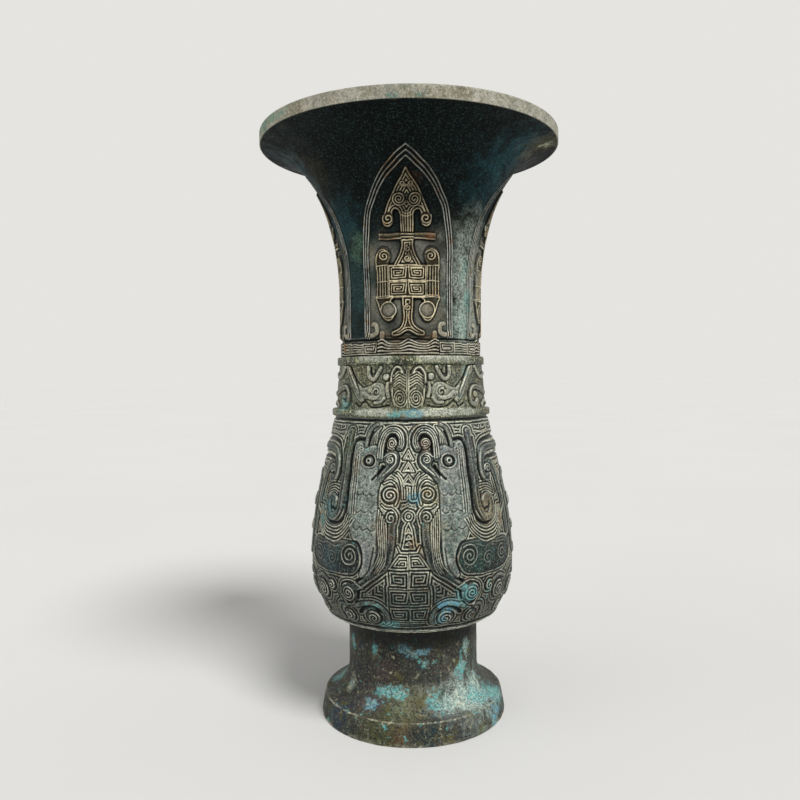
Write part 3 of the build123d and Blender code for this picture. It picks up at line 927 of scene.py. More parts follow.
def birdVolutes(sheet):
    for centre, size, start, hand in bellyVolutes:
        turns = size / belly["voluteTurns"]
        wide = size * belly["voluteCoil"]
        curl(sheet, centre, size, belly["voluteRise"], wide, turns, start, hand)
    thread(sheet, [
        (24.6, 62.6), (28, 64), (33, 65), (39.2, 63.4), (40.6, 59.6), (38, 55.6), (33.6, 54.8),
        (29.4, 57.2),
    ], 0.45)
    cutLine(sheet, [(27.6, 61.4), (28.6, 58.4), (31, 55.6)], 0.9, 0.45)
    raiseBand(sheet, [
        (30.4, 54.6), (25, 56.4), (19.6, 56.6), (14.6, 54.6), (12.4, 51.6), (12.6, 48.6),
    ], 1.8, 0.7, -0.3)
    cutLine(sheet, [(28.6, 52.2), (25.4, 54.4), (20, 54.9), (15.8, 53)], 0.9, 0.55)
    raiseBand(sheet, [(43.4, 47.8), (44.4, 51.6), (42, 54.4), (37, 54.4)], 1.5, 0.7, -0.3)
    raiseBand(sheet, [(62.2, 62.6), (55.6, 64.3), (50, 63)], 1.6, 0.7, -0.3)
    raiseBand(sheet, [(78.6, 61.4), (76, 64), (70.6, 64.4), (66.6, 61.6)], 1.6, 0.7, -0.3)


def birdColumn(sheet):  # the column of chevrons and coils between the two birds
    for level in (114.2, 109.6, 104.6):
        for k in (0, 1):
            wide = 3.4 - k * 1.5 if level > 106 else 4.4 - k * 1.7
            low = level - 1.8 + k * 0.4
            ruled(sheet, [(0, level + 2.0 - k * 1.25), (wide, low), (0, low)])
    thread(sheet, ring(sheet, (0, 90.8), 1.5), 0.45)
    ruled(sheet, [(0, 88.6), (1.4, 86.4), (2.6, 80.4), (3.2, 78.6), (0, 78.6)], 0.45)
    ruled(sheet, [(0, 77.2), (4.2, 77.2), (5.6, 79.6)], 0.45)
    for i in range(3):
        chevron = [(0, 86.2 - i * 2.4), (1.2 + i * 0.25, 84.4 - i * 2.0), (0, 84.8 - i * 2.3)]
        ruled(sheet, chevron)
    ruled(sheet, [(0.5, 76.2), (5.2, 76.2), (10.4, 70.8), (0.5, 70.8), (0.5, 76.2)])
    ruled(sheet, [(1.7, 75), (4.8, 75), (7.6, 72), (1.7, 72), (1.7, 74), (4.2, 74), (5.2, 73)])
    for i, level in enumerate((66.4, 59.3, 52.2)):
        ruled(sheet, squareSpiral(sheet, (5.3, level), 7.2, 6.2, 1.24, 1 if i % 2 else -1))


def birdOrnament(sheet):
    z = sheet["z"][:, None]
    # painted light on the shoulder, and painted shade low on the belly, which faces down
    low, high, pale = belly["paleTop"]
    darkLow, darkHigh, dark = belly["darkFoot"]
    sheet["tone"] += pale * (1 - fade(z, low, high)) + dark * fade(z, darkLow, darkHigh)
    for draw in (birdBreast, birdHead, birdLegs, birdTail, birdSide, birdWing, birdVolutes, birdColumn):
        draw(sheet)
    across = np.linspace(*belly["span"], 3)
    bead = [(a, belly["bead"]) for a in across]
    raiseBand(sheet, bead, belly["beadWidth"], belly["beadRise"])
    thread(sheet, bead, *belly["beadLine"])
    cutLine(sheet, [(a, belly["topGroove"]) for a in across], *belly["grooveCut"])
    fillGround(sheet, belly["groundCell"], belly["groundStart"])
    # more painted shade low on the belly, which also dims its lines
    low, high, dark = belly["darkLines"]
    sheet["tone"] += dark * fade(z, low, high)
    sheet["tone"][sheet["z"] < belly["bead"] + belly["beadHalf"], :] = belly["beadTone"]


bellyLook = {
    "relief": True, "dark": (15, 20, 19), "haze": (27, 41, 38), "brown": (40, 35, 27),
    "deep": (7, 9, 9), "shade": (12, 18, 20), "pale": (146, 158, 148), "paleToo": (84, 98, 92),
    "paleBroad": (128, 120, 128), "paleFine": (206, 210, 194), "paleLow": 0.4, "body": (47, 56, 55),
    "bodyShare": 0.6, "grit": 0.38, "gritColour": (88, 112, 104), "bodyLine": (238, 240, 222),
    "groundLine": (238, 238, 214), "dullLine": (112, 130, 118), "warmLine": (200, 168, 126),
    "lineLow": 0.42, "lineStain": 0.7, "lineMetal": 0.3, "metal": 0.25, "rough": 0.46, "gloss": 0.2,
    "pits": 0.35, "speckle": 0.5, "speckColour": (166, 178, 162), "pitted": 0.95, "hollowShare": 1.0,
    "crumb": (176, 206, 192), "crumbToo": (64, 128, 138),
    "flecks": [  # scale and shift of the noise, where in it they begin, share, tint
        (360, 0.31, 0.62, 0.7, turquoise), (300, 0.77, 0.63, 0.6, cream),
        (900, 0.13, 0.61, 0.7, tealDark), (760, 0.91, 0.6, 0.65, (132, 176, 168)),
    ],
    "hazes": [  # angle, radius, level, size, tint, share
        (10.5, 41, 98.5, 4.5, (196, 184, 130), 0.65), (-9, 41, 98, 4, (188, 148, 98), 0.65),
        (13, 42, 87, 5, (196, 186, 142), 0.6), (-14, 42, 84, 5, (170, 128, 92), 0.6),
        (-11, 37, 118.6, 3, (192, 156, 118), 0.5), (11, 37, 118.6, 3, (192, 138, 108), 0.5),
        (49, 42, 92, 6, (188, 166, 120), 0.55), (50, 42.6, 84, 5, (206, 194, 162), 0.6),
        (-48, 43.4, 73, 7, (44, 82, 92), 0.7), (-45, 43, 83, 5, (206, 186, 164), 0.5),
        (-56, 42, 90, 7, (92, 158, 160), 0.6), (-46, 35.4, 119, 9, (124, 136, 104), 0.5),
        (42, 36, 117, 9, (152, 154, 154), 0.55), (0, 37, 119, 5, tealDark, 0.7),
        (-30, 42, 54, 12, tealDark, 0.6), (2, 41, 53, 8, (58, 104, 104), 0.6),
        (36, 43, 74, 8, (56, 98, 90), 0.7), (31, 43.4, 66, 3, (112, 54, 38), 0.6),
        (140, 42, 74, 14, (48, 84, 76), 0.6), (215, 38, 108, 14, silver, 0.5),
    ],
    "spots": [  # angle, radius, level, size, tint, stretch
        (3.5, 40.6, 98, 2.6, paleBlue, plain), (31, 43.4, 59.5, 4.2, turquoise, plain),
        (22, 42.4, 55.5, 3.4, paleBlue, plain), (17.5, 40.8, 50.5, 2.8, paleBlue, plain),
        (46, 43.6, 58, 3.2, turquoise, upright), (-10, 38, 47.4, 2.6, turquoise, flatWide),
        (-20, 42, 55.4, 2.2, turquoise, flatWide), (-58, 43, 86, 2.8, turquoise, plain),
        (150, 43.6, 70, 6, turquoise, plain), (205, 41.6, 54, 5, paleBlue, flatWide),
        (250, 42, 84, 3.6, cream, plain),
    ],
}


def makeBelly():
    material = patinaBronze("bellyPatina", bellyLook)
    panels = []
    for side, far, seed in zip(("right", "left"), ("left", "right"), belly["seeds"]):
        angles = np.linspace(*belly["span"], belly["columns"])
        sheet = makeSheet(bellyOutline(), angles, belly["rows"], seed)
        birdOrnament(sheet)
        backAngles = np.linspace(*belly["span"], belly["backColumns"])
        inside = makeSheet(bellyInside(), backAngles, belly["backRows"])
        height = reliefHeight(sheet, belly["lineRise"])
        piece = castPiece("belly_panel_" + side, sheet, height, inside, closePanel)
        if side == "left":
            mirrorPiece(piece)
        shadeSmooth(piece)
        panels.extend([piece, turnedCopy(piece, "belly_panel_back_" + far, 180)])
    for panel in panels:
        finishPiece(panel, material, "belly_shell")
    print("belly panels made", len(panels[0].data.polygons))


# neck: four cast panels, each with one leaf, up to the lip and down the inside

neck = {
    "radius": 30.2, "low": 153.5, "tubeTop": 180.0, "flare": [(35.2, 214.0), (45.3, 233.5)],
    "lipCorner": (65.0, 244.7), "rimTop": 250.0, "rimInner": 60.5, "wall": 4.0, "lipRound": 0.9,
    "angles": ([-45, -37, -25, 25, 37, 45], [11, 36, 120, 36, 11]), "leafTop": 235.5,
    "rows": [330, 20, 38], "backColumns": 33, "backRows": 40, "arcSteps": 24, "backSteps": 12,
    "lineRise": 0.34, "groove": 160.2, "grooveAt": (-45, -20, 0, 20, 45), "grooveCut": (0.7, 0.4),
    "rimSlope": 1.6, "fieldTop": (196, 222), "fieldEdge": (-3.2, -2.5), "fieldTone": 0.34,
    "fieldMottle": 0.9, "flareTone": -0.75, "stripRise": 0.3, "stripSoft": 1, "stripEnd": (38.4, 45),
    "lipEdge": 0.3, "rimEdge": 1.5, "stripLow": 154.5, "stripPitch": 0.96, "stripBow": 1.9,
    "stripHalf": 23.5, "stripSteps": 48, "stripLines": 5, "swellAt": (-20.5, 0, 20.5), "swellWidth": 4.2,
}


def neckOutline():
    outline = [(neck["radius"], neck["low"]), (neck["radius"], neck["tubeTop"])]
    lean = 0.0
    for end in neck["flare"]:
        lean = tangentArc(outline, end, lean, neck["arcSteps"])
    tangentArc(outline, neck["lipCorner"], lean, neck["arcSteps"])
    rim = (neck["lipCorner"][0], neck["rimTop"])
    roundCorner(outline, rim, (neck["rimInner"], neck["rimTop"]), neck["lipRound"])
    inner = (neck["rimInner"], neck["rimTop"])
    slope = neck["rimSlope"]
    roundCorner(outline, inner, (inner[0] - slope, inner[1] - slope), neck["lipRound"])
    return outline


def neckInside(top):
    wall, steps = neck["wall"], neck["backSteps"]
    outline = [(neck["radius"] - wall, neck["low"]), (neck["radius"] - wall, neck["tubeTop"])]
    lean, inside = 0.0, 0.0
    low = (neck["radius"], neck["tubeTop"])
    for end in neck["flare"]:
        lean = 2 * atan2(end[0] - low[0], end[1] - low[1]) - lean
        within = (end[0] - wall * cos(lean), end[1] + wall * sin(lean))
        inside = tangentArc(outline, within, inside, steps)
        low = end
    tangentArc(outline, top, inside, steps)
    return outline


def both(draw, sheet, points, *settings):  # the same form on the right and on the left
    draw(sheet, points, *settings)
    draw(sheet, [(-a, z) for a, z in points], *settings)


def wholeOutline(half):  # a half outline, closed by its mirror image
    return half + [(-a, z) for a, z in reversed(half) if a]


def leafCoil(sheet, centre, bare, size, turns, start, hand, width=0.38):  # a coil on bare metal
    line = spiral(sheet, centre, size, turns, start, hand)
    for draw, points, setting in ((clearLines, [centre], bare), (thread, line, width)):
        if centre[0]:
            both(draw, sheet, points, setting)
        else:
            draw(sheet, points, setting)


def leafBorder(sheet):
    half = [
        (35.8, 160.8), (35.8, 176), (35.8, 190), (33.8, 201), (29.2, 211.4), (20.8, 220.6),
        (10.6, 228.4), (0, 234.4),
    ]
    block, d = distance(sheet, wholeOutline(half), relief["reach"], closed=True)
    field = fade(d, *neck["fieldEdge"]) * fade(sheet["z"][block[0], None], *neck["fieldTop"])
    mottle = neck["fieldTone"] + neck["fieldMottle"] * sheet["wobbleS"][block]
    sheet["tone"][block] += field * mottle
    shrink = [2.1, 2.1, 2.1, 2.1, 2.05, 1.8, 1.4, 0]
    drop = [0, 0, 0, 0, 0.1, 0.5, 1.1, 2.0]
    for k in range(3):  # three lines that meet at the tip
        both(thread, sheet, [(a - s * k, z - d * k) for (a, z), s, d in zip(half, shrink, drop)], 0.4)


def leafSpear(sheet):
    linedPatch(sheet, wholeOutline([
        (0, 227), (3.2, 224), (7.2, 220), (11.2, 215.6), (14.6, 211.4), (16.9, 208.4), (16.6, 206.2),
        (13.6, 205), (10.4, 205.8), (9.0, 207.8), (9.4, 210), (8.0, 211.6), (5.6, 211), (4.4, 209.4),
        (0, 208.4),
    ]), 0.75, 9.0)
    leafCoil(sheet, (4.9, 215.6), 3.1, 2.9, 2.4, 200, 1, 0.4)
    leafCoil(sheet, (12.8, 208.4), 2.5, 2.4, 1.4, 30, -1, 0.46)
    leafCoil(sheet, (2.2, 221.2), 1.3, 1.2, 1.4, 200, 1)
    raisePatch(sheet, [(-4.3, 211.5), (4.3, 211.5), (4.6, 202), (-4.6, 202)], 0.75, smooth=False)
    for x in (-3.9, -2.4, -0.8, 0.8, 2.4, 3.9):  # stem
        ruled(sheet, [(x, 203.4), (x, 210.6)], 0.38)
    raisePatch(sheet, [
        (-20.6, 202.7), (20.6, 202.7), (20.6, 200.3), (-20.6, 200.3),
    ], 0.75, smooth=False)
    both(ruled, sheet, [(4.8, 200.5), (20.4, 200.5)])
    for level in (202.2, 201.0, 199.8):
        ruled(sheet, [(-4.4, level), (4.4, level)], 0.38)


def leafBody(sheet):
    linedPatch(sheet, wholeOutline([
        (0, 200.4), (4.4, 200.2), (4.8, 197.4), (6.4, 194.2), (9.6, 190.8), (10.8, 188.6), (0, 188.6),
    ]), 0.72, 9.0)
    leafCoil(sheet, (0, 196.6), 1.5, 1.3, 1.4, 90, 1)
    leafCoil(sheet, (0, 192.6), 1.7, 1.5, 1.6, 90, -1)
    raisePatch(sheet, [
        (-24.4, 190.4), (24.4, 190.4), (24.4, 176.6), (-24.4, 176.6),
    ], 0.75, smooth=False)
    both(raisePatch, sheet, [  # horns that curl in
        (24.5, 188), (24.4, 192.6), (22.2, 196), (18.2, 197.4), (14.2, 196.4), (12.6, 193.8),
        (14, 191.6), (16, 189),
    ], 0.78)
    both(thread, sheet, [(23.6, 189), (23.4, 192.8), (21.4, 195.4), (18, 196.5), (14.8, 195.6)])
    both(thread, sheet, spiral(sheet, (17.2, 193.8), 2.2, 1.6, 150, -1), 0.44)
    for level in (186.8, 180.2):
        both(ruled, sheet, squareSpiral(sheet, (7.2, level), 6.9, 5.8, 0.98), 0.36)
    ruled(sheet, [(-24, 183.5), (24, 183.5)], 0.4)
    both(ruled, sheet, [(14.6, 190), (24, 190)], 0.4)
    ruled(sheet, [(-24, 177), (24, 177)])
    for angle in (14.8, 16.9, 19.0, 21.1, 23.4):
        both(ruled, sheet, [(angle, 189.4), (angle, 177.4)], 0.34, 0.9)
    both(linedPatch, sheet, [  # lower corners that roll in under the body
        (24.4, 178), (23.4, 174), (20.8, 170), (16.8, 167.6), (12.4, 167.8), (9.6, 170.2),
        (9.6, 173.4), (12, 175.6), (8.4, 177.6),
    ], 0.7, 1.3)
    both(clearLines, sheet, [(14.8, 172)], 2.9)
    both(raiseDome, sheet, [(14.8, 172)], 2.9, 1.0, 0.5)
    both(thread, sheet, ring(sheet, (14.8, 172), 3.1))


def leafTail(sheet):
    linedPatch(sheet, wholeOutline([
        (0, 177.4), (4.2, 177.2), (3.9, 172), (3.7, 168.6), (5.2, 166), (8.6, 164.4), (12.6, 163.2),
        (11.8, 161.5), (6.4, 161.7), (0, 163.4),
    ]), 0.72, 9.0)
    leafCoil(sheet, (0, 173), 1.5, 1.3, 1.3, 90, 1)
    both(raiseBand, sheet, [
        (33.6, 162.4), (28.6, 162), (25, 163.2), (25.4, 165.8), (28, 166.4),
    ], 1.7, 0.55, 0.8)
    both(raiseBand, sheet, [(20.6, 160.6), (20.4, 162.8)], 1.9, 0.6, 0.4)


def neckStrip(sheet):  # bowed lines under the leaf
    count, half = neck["stripLines"], neck["stripHalf"]
    for k in range(count):
        level = neck["stripLow"] + k * neck["stripPitch"]
        bowed = []
        for angle in np.linspace(-half, half, neck["stripSteps"]):
            swell = sum(np.exp(-((angle - at) / neck["swellWidth"]) ** 2) for at in neck["swellAt"])
            bowed.append((angle, level + neck["stripBow"] * swell * (k / (count - 1))))
        ruled(sheet, bowed, 0.56)
        both(ruled, sheet, [(angle, level) for angle in neck["stripEnd"]], 0.54)
    both(ruled, sheet, squareSpiral(sheet, (31, 156.5), 6.6, 4.4, 0.98), 0.5)
    edge = (neck["groove"] - neck["stripSoft"], neck["groove"])
    sheet["body"] += neck["stripRise"] * fade(sheet["z"][:, None], *edge)


def leafOrnament(sheet):
    for draw in (leafBorder, leafSpear, leafBody, leafTail, neckStrip):
        draw(sheet)
    cutLine(sheet, [(a, neck["groove"]) for a in neck["grooveAt"]], *neck["grooveCut"])
    # painted shade on the outside of the flare, which faces down
    sheet["tone"] += neck["flareTone"] * (1 - fade(sheet["z"][:, None], *neck["fieldTop"]))
    # the lip's outer edge and the rim top are set pale: rubbed metal, and painted light on the rim from
    # above
    lip = sheet["r"] > neck["lipCorner"][0] - neck["lipEdge"]
    lip = lip | (sheet["z"] > neck["rimTop"] - neck["rimEdge"])
    sheet["tone"][lip, :] = 1.0


neckLook = {
    "relief": True, "dark": (16, 19, 19), "haze": (26, 37, 37), "brown": (36, 32, 25),
    "deep": (7, 8, 8), "shade": (9, 11, 11), "pale": (178, 174, 160), "paleToo": (142, 142, 124),
    "paleBroad": (124, 116, 90), "paleFine": (196, 190, 176), "paleLow": 0.75, "body": (64, 54, 37),
    "bodyShare": 0.92, "grit": 0.25, "gritColour": (52, 74, 70), "bodyLine": (238, 224, 186),
    "groundLine": (216, 218, 208), "dullLine": (138, 130, 98), "warmLine": (190, 146, 92),
    "lineLow": 0.42, "lineStain": 0.5, "lineMetal": 0.3, "metal": 0.1, "rough": 0.62, "gloss": 0.05,
    "pits": 0.25, "speckle": 0.34, "speckColour": (76, 108, 104), "pitted": 0.5, "hollowShare": 1.0,
    "crumb": (150, 176, 164), "crumbToo": (70, 120, 118),
    "flecks": [(420, 0.43, 0.65, 0.55, (60, 112, 112)), (900, 0.29, 0.64, 0.5, (40, 84, 88))],
    "hazes": [
        (58, 43, 222, 13, tealHaze, 0.8), (66, 52, 235, 14, tealHaze, 0.95),
        (-54, 36, 209, 10, tealHaze, 0.7), (-66, 46, 229, 10, (58, 50, 28), 0.75),
        # the pale silver hazes at 52 to 54 degrees, down the right of the neck, are a painted highlight
        (78, 60, 241, 10, (112, 102, 72), 0.75), (54, 33, 202, 10, (164, 172, 158), 0.8),
        (54, 30.4, 185, 12, (176, 184, 172), 1.0), (52, 30.2, 166, 10, (170, 186, 172), 1.0),
        (-54, 30, 180, 12, (58, 86, 84), 0.9), (-40, 33, 198, 5, (104, 134, 108), 0.7),
        (20.5, 31.2, 161.8, 1.5, (168, 122, 66), 0.9), (-20.5, 31.2, 161.8, 1.4, (150, 108, 68), 0.9),
        (4, 39.6, 222, 3, (112, 68, 40), 0.6), (16, 34.4, 201.4, 2.2, (160, 100, 60), 0.8),
        (-8, 31, 157, 5, (120, 96, 60), 0.6), (16, 31, 157, 5, (128, 100, 60), 0.6),
        (140, 46, 226, 18, tealHaze, 0.75), (225, 34, 200, 16, silver, 0.6),
        (270, 48, 230, 16, tealHaze, 0.7),
    ],
    "spots": [
        (54, 30, 176, 3.4, (140, 176, 166), upright), (50, 30.6, 190, 4.6, (168, 178, 162), upright),
        (48, 30.2, 165, 4.2, (176, 184, 168), upright), (80, 60, 241, 3.2, cream, plain),
        (-71, 65, 247.6, 3.4, (104, 114, 84), flatWide),
        (-63, 65, 247.6, 3.4, (116, 142, 110), flatWide),
        (-55, 65, 247.8, 3.4, (124, 152, 124), flatWide),
        (-48, 65, 247.4, 2.8, (130, 156, 132), flatWide), (-3, 65, 245.6, 1.5, (98, 90, 66), flatWide),
        (5, 65, 245.8, 1.4, (104, 94, 68), flatWide), (150, 34, 208, 4, turquoise, plain),
    ],
}


def makeNeck():
    material = patinaBronze("neckPatina", neckLook)
    outline = neckOutline()
    run = runAlong(outline)
    levels = [z for r, z in outline]
    rim = levels.index(neck["lipCorner"][1])
    leafTop = np.interp(neck["leafTop"], levels[:rim], run[:rim])
    lengths = spread([0, leafTop, run[rim], run[-1]], neck["rows"])
    angles = spread(*neck["angles"])
    sheet = makeSheet(outline, angles, lengths)
    leafOrnament(sheet)
    backAngles = np.linspace(angles[0], angles[-1], neck["backColumns"])
    inside = makeSheet(neckInside(outline[-1])[:-1], backAngles, neck["backRows"])
    height = reliefHeight(sheet, neck["lineRise"])
    piece = castPiece("neck_panel_front", sheet, height, inside, closePanel)
    shadeSmooth(piece)
    panels = [piece]
    for name, turn in (("neck_panel_right", 90), ("neck_panel_back", 180), ("neck_panel_left", 270)):
        panels.append(turnedCopy(piece, name, turn))
    for panel in panels:
        finishPiece(panel, material, "trumpet_neck")
    print("neck panels made", len(piece.data.polygons))


# collar: one ring with two ribs and the dragon frieze

collar = {
    "low": belly["top"][1], "lowRib": 34.6, "lowRibHeight": 3.0, "friezeLow": 32.6,
    "high": neck["low"], "highRib": 32.2, "highRibHeight": 3.5, "friezeHigh": 31.2, "round": 0.8,
    "inLow": belly["top"][0] - belly["wall"], "inHigh": neck["radius"] - neck["wall"],
    "ribSole": 1.2, "friezeRound": 0.4, "highUnderRound": 0.45, "seamStep": 2.6,
    "columns": 721, "rows": 112, "backRows": 4, "lineRise": 0.34, "outlineDepth": 0.34, "outlineBlur": 2,
    "outlineFull": 2.4, "figure": 0.25, "figureEdge": (0.05, 0.3), "groundCell": (7.5, 4.6),
    "groundStart": 6.2, "groundLines": (1.22, 2.2, 0.35),  # pitch, width that follows a figure, level
    "ribClear": (0.7, 0.4), "darkest": -0.6,
    "lowEdge": 1.1, "highEdge": 1.0, "tones": [-0.4, 0.8, 0.95, -0.9, 0.4, 1.0],  # up both ribs: painted light on their tops and painted shade on their undersides
    "ribStains": [(-62, 22), (-2, 9), (66, 14), (128, 20), (215, 30)],  # middle and half width
    "stainTone": -1.1, "stainEdge": (4, 3),
}
collar["ribTop"] = collar["low"] + collar["lowRibHeight"]
collar["ribUnder"] = collar["high"] - collar["highRibHeight"]
collar["toneLevels"] = [
    collar["low"], collar["low"] + collar["lowEdge"], collar["ribTop"],
    collar["ribUnder"], collar["ribUnder"] + collar["highEdge"], collar["high"],
]


def collarOutline():
    low, high, ribTop, ribUnder = (collar[key] for key in ("low", "high", "ribTop", "ribUnder"))
    lowRib, highRib, size = collar["lowRib"], collar["highRib"], collar["round"]
    outline = [(lowRib - collar["ribSole"], low)]
    roundCorner(outline, (lowRib, low), (lowRib, ribTop), size)
    roundCorner(outline, (lowRib, ribTop), (collar["friezeLow"], ribTop), size)
    friezeLow, friezeHigh = (collar["friezeLow"], ribTop), (collar["friezeHigh"], ribUnder)
    roundCorner(outline, friezeLow, friezeHigh, collar["friezeRound"])
    roundCorner(outline, friezeHigh, (highRib, ribUnder), collar["friezeRound"])
    roundCorner(outline, (highRib, ribUnder), (highRib, high), collar["highUnderRound"])
    seam = (highRib - collar["seamStep"], high)
    roundCorner(outline, (highRib, high), seam, size)
    outline.append(seam)
    return outline


def quarter(draw, sheet, points, *settings):  # in each quarter, facing the front or the back
    both(draw, sheet, points, *settings)
    both(draw, sheet, [(180 - a, z) for a, z in points], *settings)


def friezeMask(sheet):  # at the front and the back
    horn = [(12.2, 143), (11.6, 146.4), (8.8, 148.6), (5.6, 148.2), (3.8, 146.6)]
    quarter(raiseBand, sheet, horn, 1.5, 0.7)
    quarter(thread, sheet, horn, 0.4)
    brow = [(1.6, 145.5), (3.8, 146.3), (6.2, 147.1), (8.6, 146.3), (10.6, 145.3)]
    for k in range(5):
        quarter(thread, sheet, [(a, z - 1.12 * k) for a, z in brow], 0.38)
    quarter(thread, sheet, spiral(sheet, (5.8, 136.4), 3.1, 3.2, 90, 1, 0.3, 1.3), 0.36)
    quarter(ruled, sheet, [(0.7, 147.6), (0.7, 133)], 0.4)
    quarter(thread, sheet, [(11.6, 140.4), (11.2, 136.4), (9.6, 133.4)])


def friezeDragon(sheet):
    quarter(raiseBand, sheet, [(54, 149), (47, 143.4), (40.4, 137.4), (36.6, 135.8)], 2.2, 0.75)
    quarter(thread, sheet, [(51.6, 149), (45.6, 144), (39.4, 138.6)])
    quarter(cutLine, sheet, [(50.2, 149.2), (44.4, 144.6), (36.6, 140.8)], 0.6, 0.4)
    quarter(raiseBand, sheet, [
        (31.4, 149.4), (31.2, 145.6), (27.6, 143.9), (23.8, 145.6), (20.8, 148.8),
    ], 1.6, 0.75)
    quarter(cutLine, sheet, [(29.4, 148.8), (28.8, 146.6), (26.8, 146.2), (25.4, 147.8)], 0.6, 0.4)
    quarter(raiseBand, sheet, [
        (34.4, 138.6), (29, 136.8), (24.2, 136.6), (21.4, 138.4), (22.4, 140.6), (25, 140.4),
    ], 1.8, 0.8)
    quarter(cutLine, sheet, spiral(sheet, (24.0, 138.8), 2.2, 1.35, 30, 1), 0.6, 0.45)
    quarter(raiseDome, sheet, [(36.4, 138.2)], 1.5, 0.8)
    quarter(cutLine, sheet, [
        (43, 134), (38.6, 132.9), (36.2, 134.6), (33, 135), (28.4, 133), (22, 132.7), (14, 133.4),
    ], 0.7)
    quarter(raiseBand, sheet, [(24.6, 134.6), (20.4, 134.8), (17.2, 136.6)], 1.3, 0.7)
    quarter(raiseDome, sheet, [(16.4, 145)], 1.5, 0.9, 0.7)
    quarter(raiseBand, sheet, [(14.8, 142.4), (15.4, 140), (14.2, 137)], 1.3, 0.7)
    quarter(raisePatch, sheet, [  # head
        (40.6, 141.8), (36, 140.6), (31, 141.2), (25, 142.6), (19, 142.2), (16, 139.6), (17.5, 136.6),
        (22, 135.2), (30, 136), (36, 136.4), (39, 138.4),
    ], 0.4, 0.4)


def friezeLoop(sheet):  # at the side, and the tail that meets the next dragon
    quarter(raiseBand, sheet, [
        (78, 137.8), (68, 139.6), (60.6, 140.6), (54, 140.4), (50.6, 137.8), (51.2, 134.6),
        (55.6, 133.2), (60, 134.8),
    ], 1.9, 0.8)
    quarter(thread, sheet, [
        (78, 138.2), (68, 140), (60.6, 141), (53.6, 140.8), (49.9, 137.8), (50.6, 134.2),
    ], 0.4, 0.8)
    quarter(raiseDome, sheet, [(58, 137.4)], 1.6, 0.75)
    quarter(raiseBand, sheet, [(59, 149), (64, 146), (72, 144.8), (82, 146.2)], 1.7, 0.75)
    quarter(raiseBand, sheet, [(68, 133), (74, 134.6), (82, 133.4)], 1.6, 0.7)
    quarter(thread, sheet, spiral(sheet, (85.6, 140.8), 3.0, 2.0, 0, 1))


def friezeGround(sheet):  # a groove round each figure, and faint coils
    figures = blurred((sheet["body"] > collar["figure"]) * 1.0, collar["outlineBlur"])
    rim = np.clip(collar["outlineFull"] * figures, 0, 1) * fade(sheet["body"], *collar["figureEdge"])
    sheet["cut"] = np.maximum(sheet["cut"], collar["outlineDepth"] * rim)
    fillGround(sheet, collar["groundCell"], collar["groundStart"], *collar["groundLines"])


def ribTone(sheet):  # plain ribs, with painted light on top, painted shade underneath and dark stains
    above, below = collar["ribClear"]
    ribs = (sheet["z"] < collar["ribTop"] + above) | (sheet["z"] > collar["ribUnder"] - below)
    for layer in ("line", "body", "cut"):
        sheet[layer][ribs, :] = 0
    rib = np.interp(sheet["z"], collar["toneLevels"], collar["tones"])[ribs, None]
    rib = rib + 0 * sheet["angle"][None, :]
    inner, outer = collar["stainEdge"]
    for middle, half in collar["ribStains"]:
        gap = np.abs(sheet["angle"][None, :] - middle)
        rib += collar["stainTone"] * fade(gap, half - inner, half + outer)
    sheet["tone"][ribs, :] = np.clip(rib, collar["darkest"], 1)


def friezeOrnament(sheet):
    for draw in (friezeMask, friezeDragon, friezeLoop, friezeGround, ribTone):
        draw(sheet)


collarLook = {
    "relief": True, "dark": (66, 72, 58), "haze": (94, 105, 84), "brown": (106, 95, 62),
    "deep": (7, 9, 8), "shade": (22, 27, 24), "pale": (184, 189, 174), "paleToo": (118, 126, 116),
    "paleBroad": (150, 144, 142), "paleFine": (226, 226, 208), "paleLow": 0.6, "body": (104, 110, 106),
    "bodyShare": 0.8, "grit": 0.9, "gritColour": (206, 204, 164), "bodyLine": (236, 232, 208),
    "groundLine": (230, 228, 200), "dullLine": (136, 142, 118), "warmLine": (172, 146, 100),
    "lineLow": 0.35, "lineStain": 0.5, "lineMetal": 0.3, "metal": 0.2, "rough": 0.5, "gloss": 0.2,
    "pits": 0.35, "speckle": 0.8, "speckColour": (224, 222, 190), "pitted": 0.95, "hollowShare": 1.0,
    "crumb": (176, 206, 192), "crumbToo": (64, 128, 138),
    "flecks": [(380, 0.51, 0.64, 0.6, turquoise)],
    "hazes": [
        (46, 33, 142, 10, silver, 0.6), (-48, 33, 140, 10, (44, 62, 60), 0.6),
        (-8, 33, 140, 6, (120, 104, 66), 0.5),
    ],
    "spots": [
        (2, 34.6, 130, 3.4, paleBlue, flatWide), (-10, 34.4, 130, 2.2, turquoise, flatWide),
        (46, 33, 147, 2.6, cream, plain), (-56, 33, 133, 3, turquoise, plain),
        (170, 33, 140, 4.6, turquoise, plain),
    ],
}


def makeCollar():
    angles = np.linspace(-180, 180, collar["columns"])
    sheet = makeSheet(collarOutline(), angles, collar["rows"])
    friezeOrnament(sheet)
    height = reliefHeight(sheet, collar["lineRise"])
    height[:, -1] = height[:, 0]
    inside = [(collar["inLow"], collar["low"]), (collar["inHigh"], collar["high"])]
    backSheet = makeSheet(inside, angles, collar["backRows"])
    piece = castPiece("collar_ring", sheet, height, backSheet, closeRing)
    shadeSmooth(piece)
    finishPiece(piece, patinaBronze("collarPatina", collarLook), "frieze_collar")
    print("collar made", len(piece.data.polygons))


# foot: turned ring by ring, with a worn cast skin

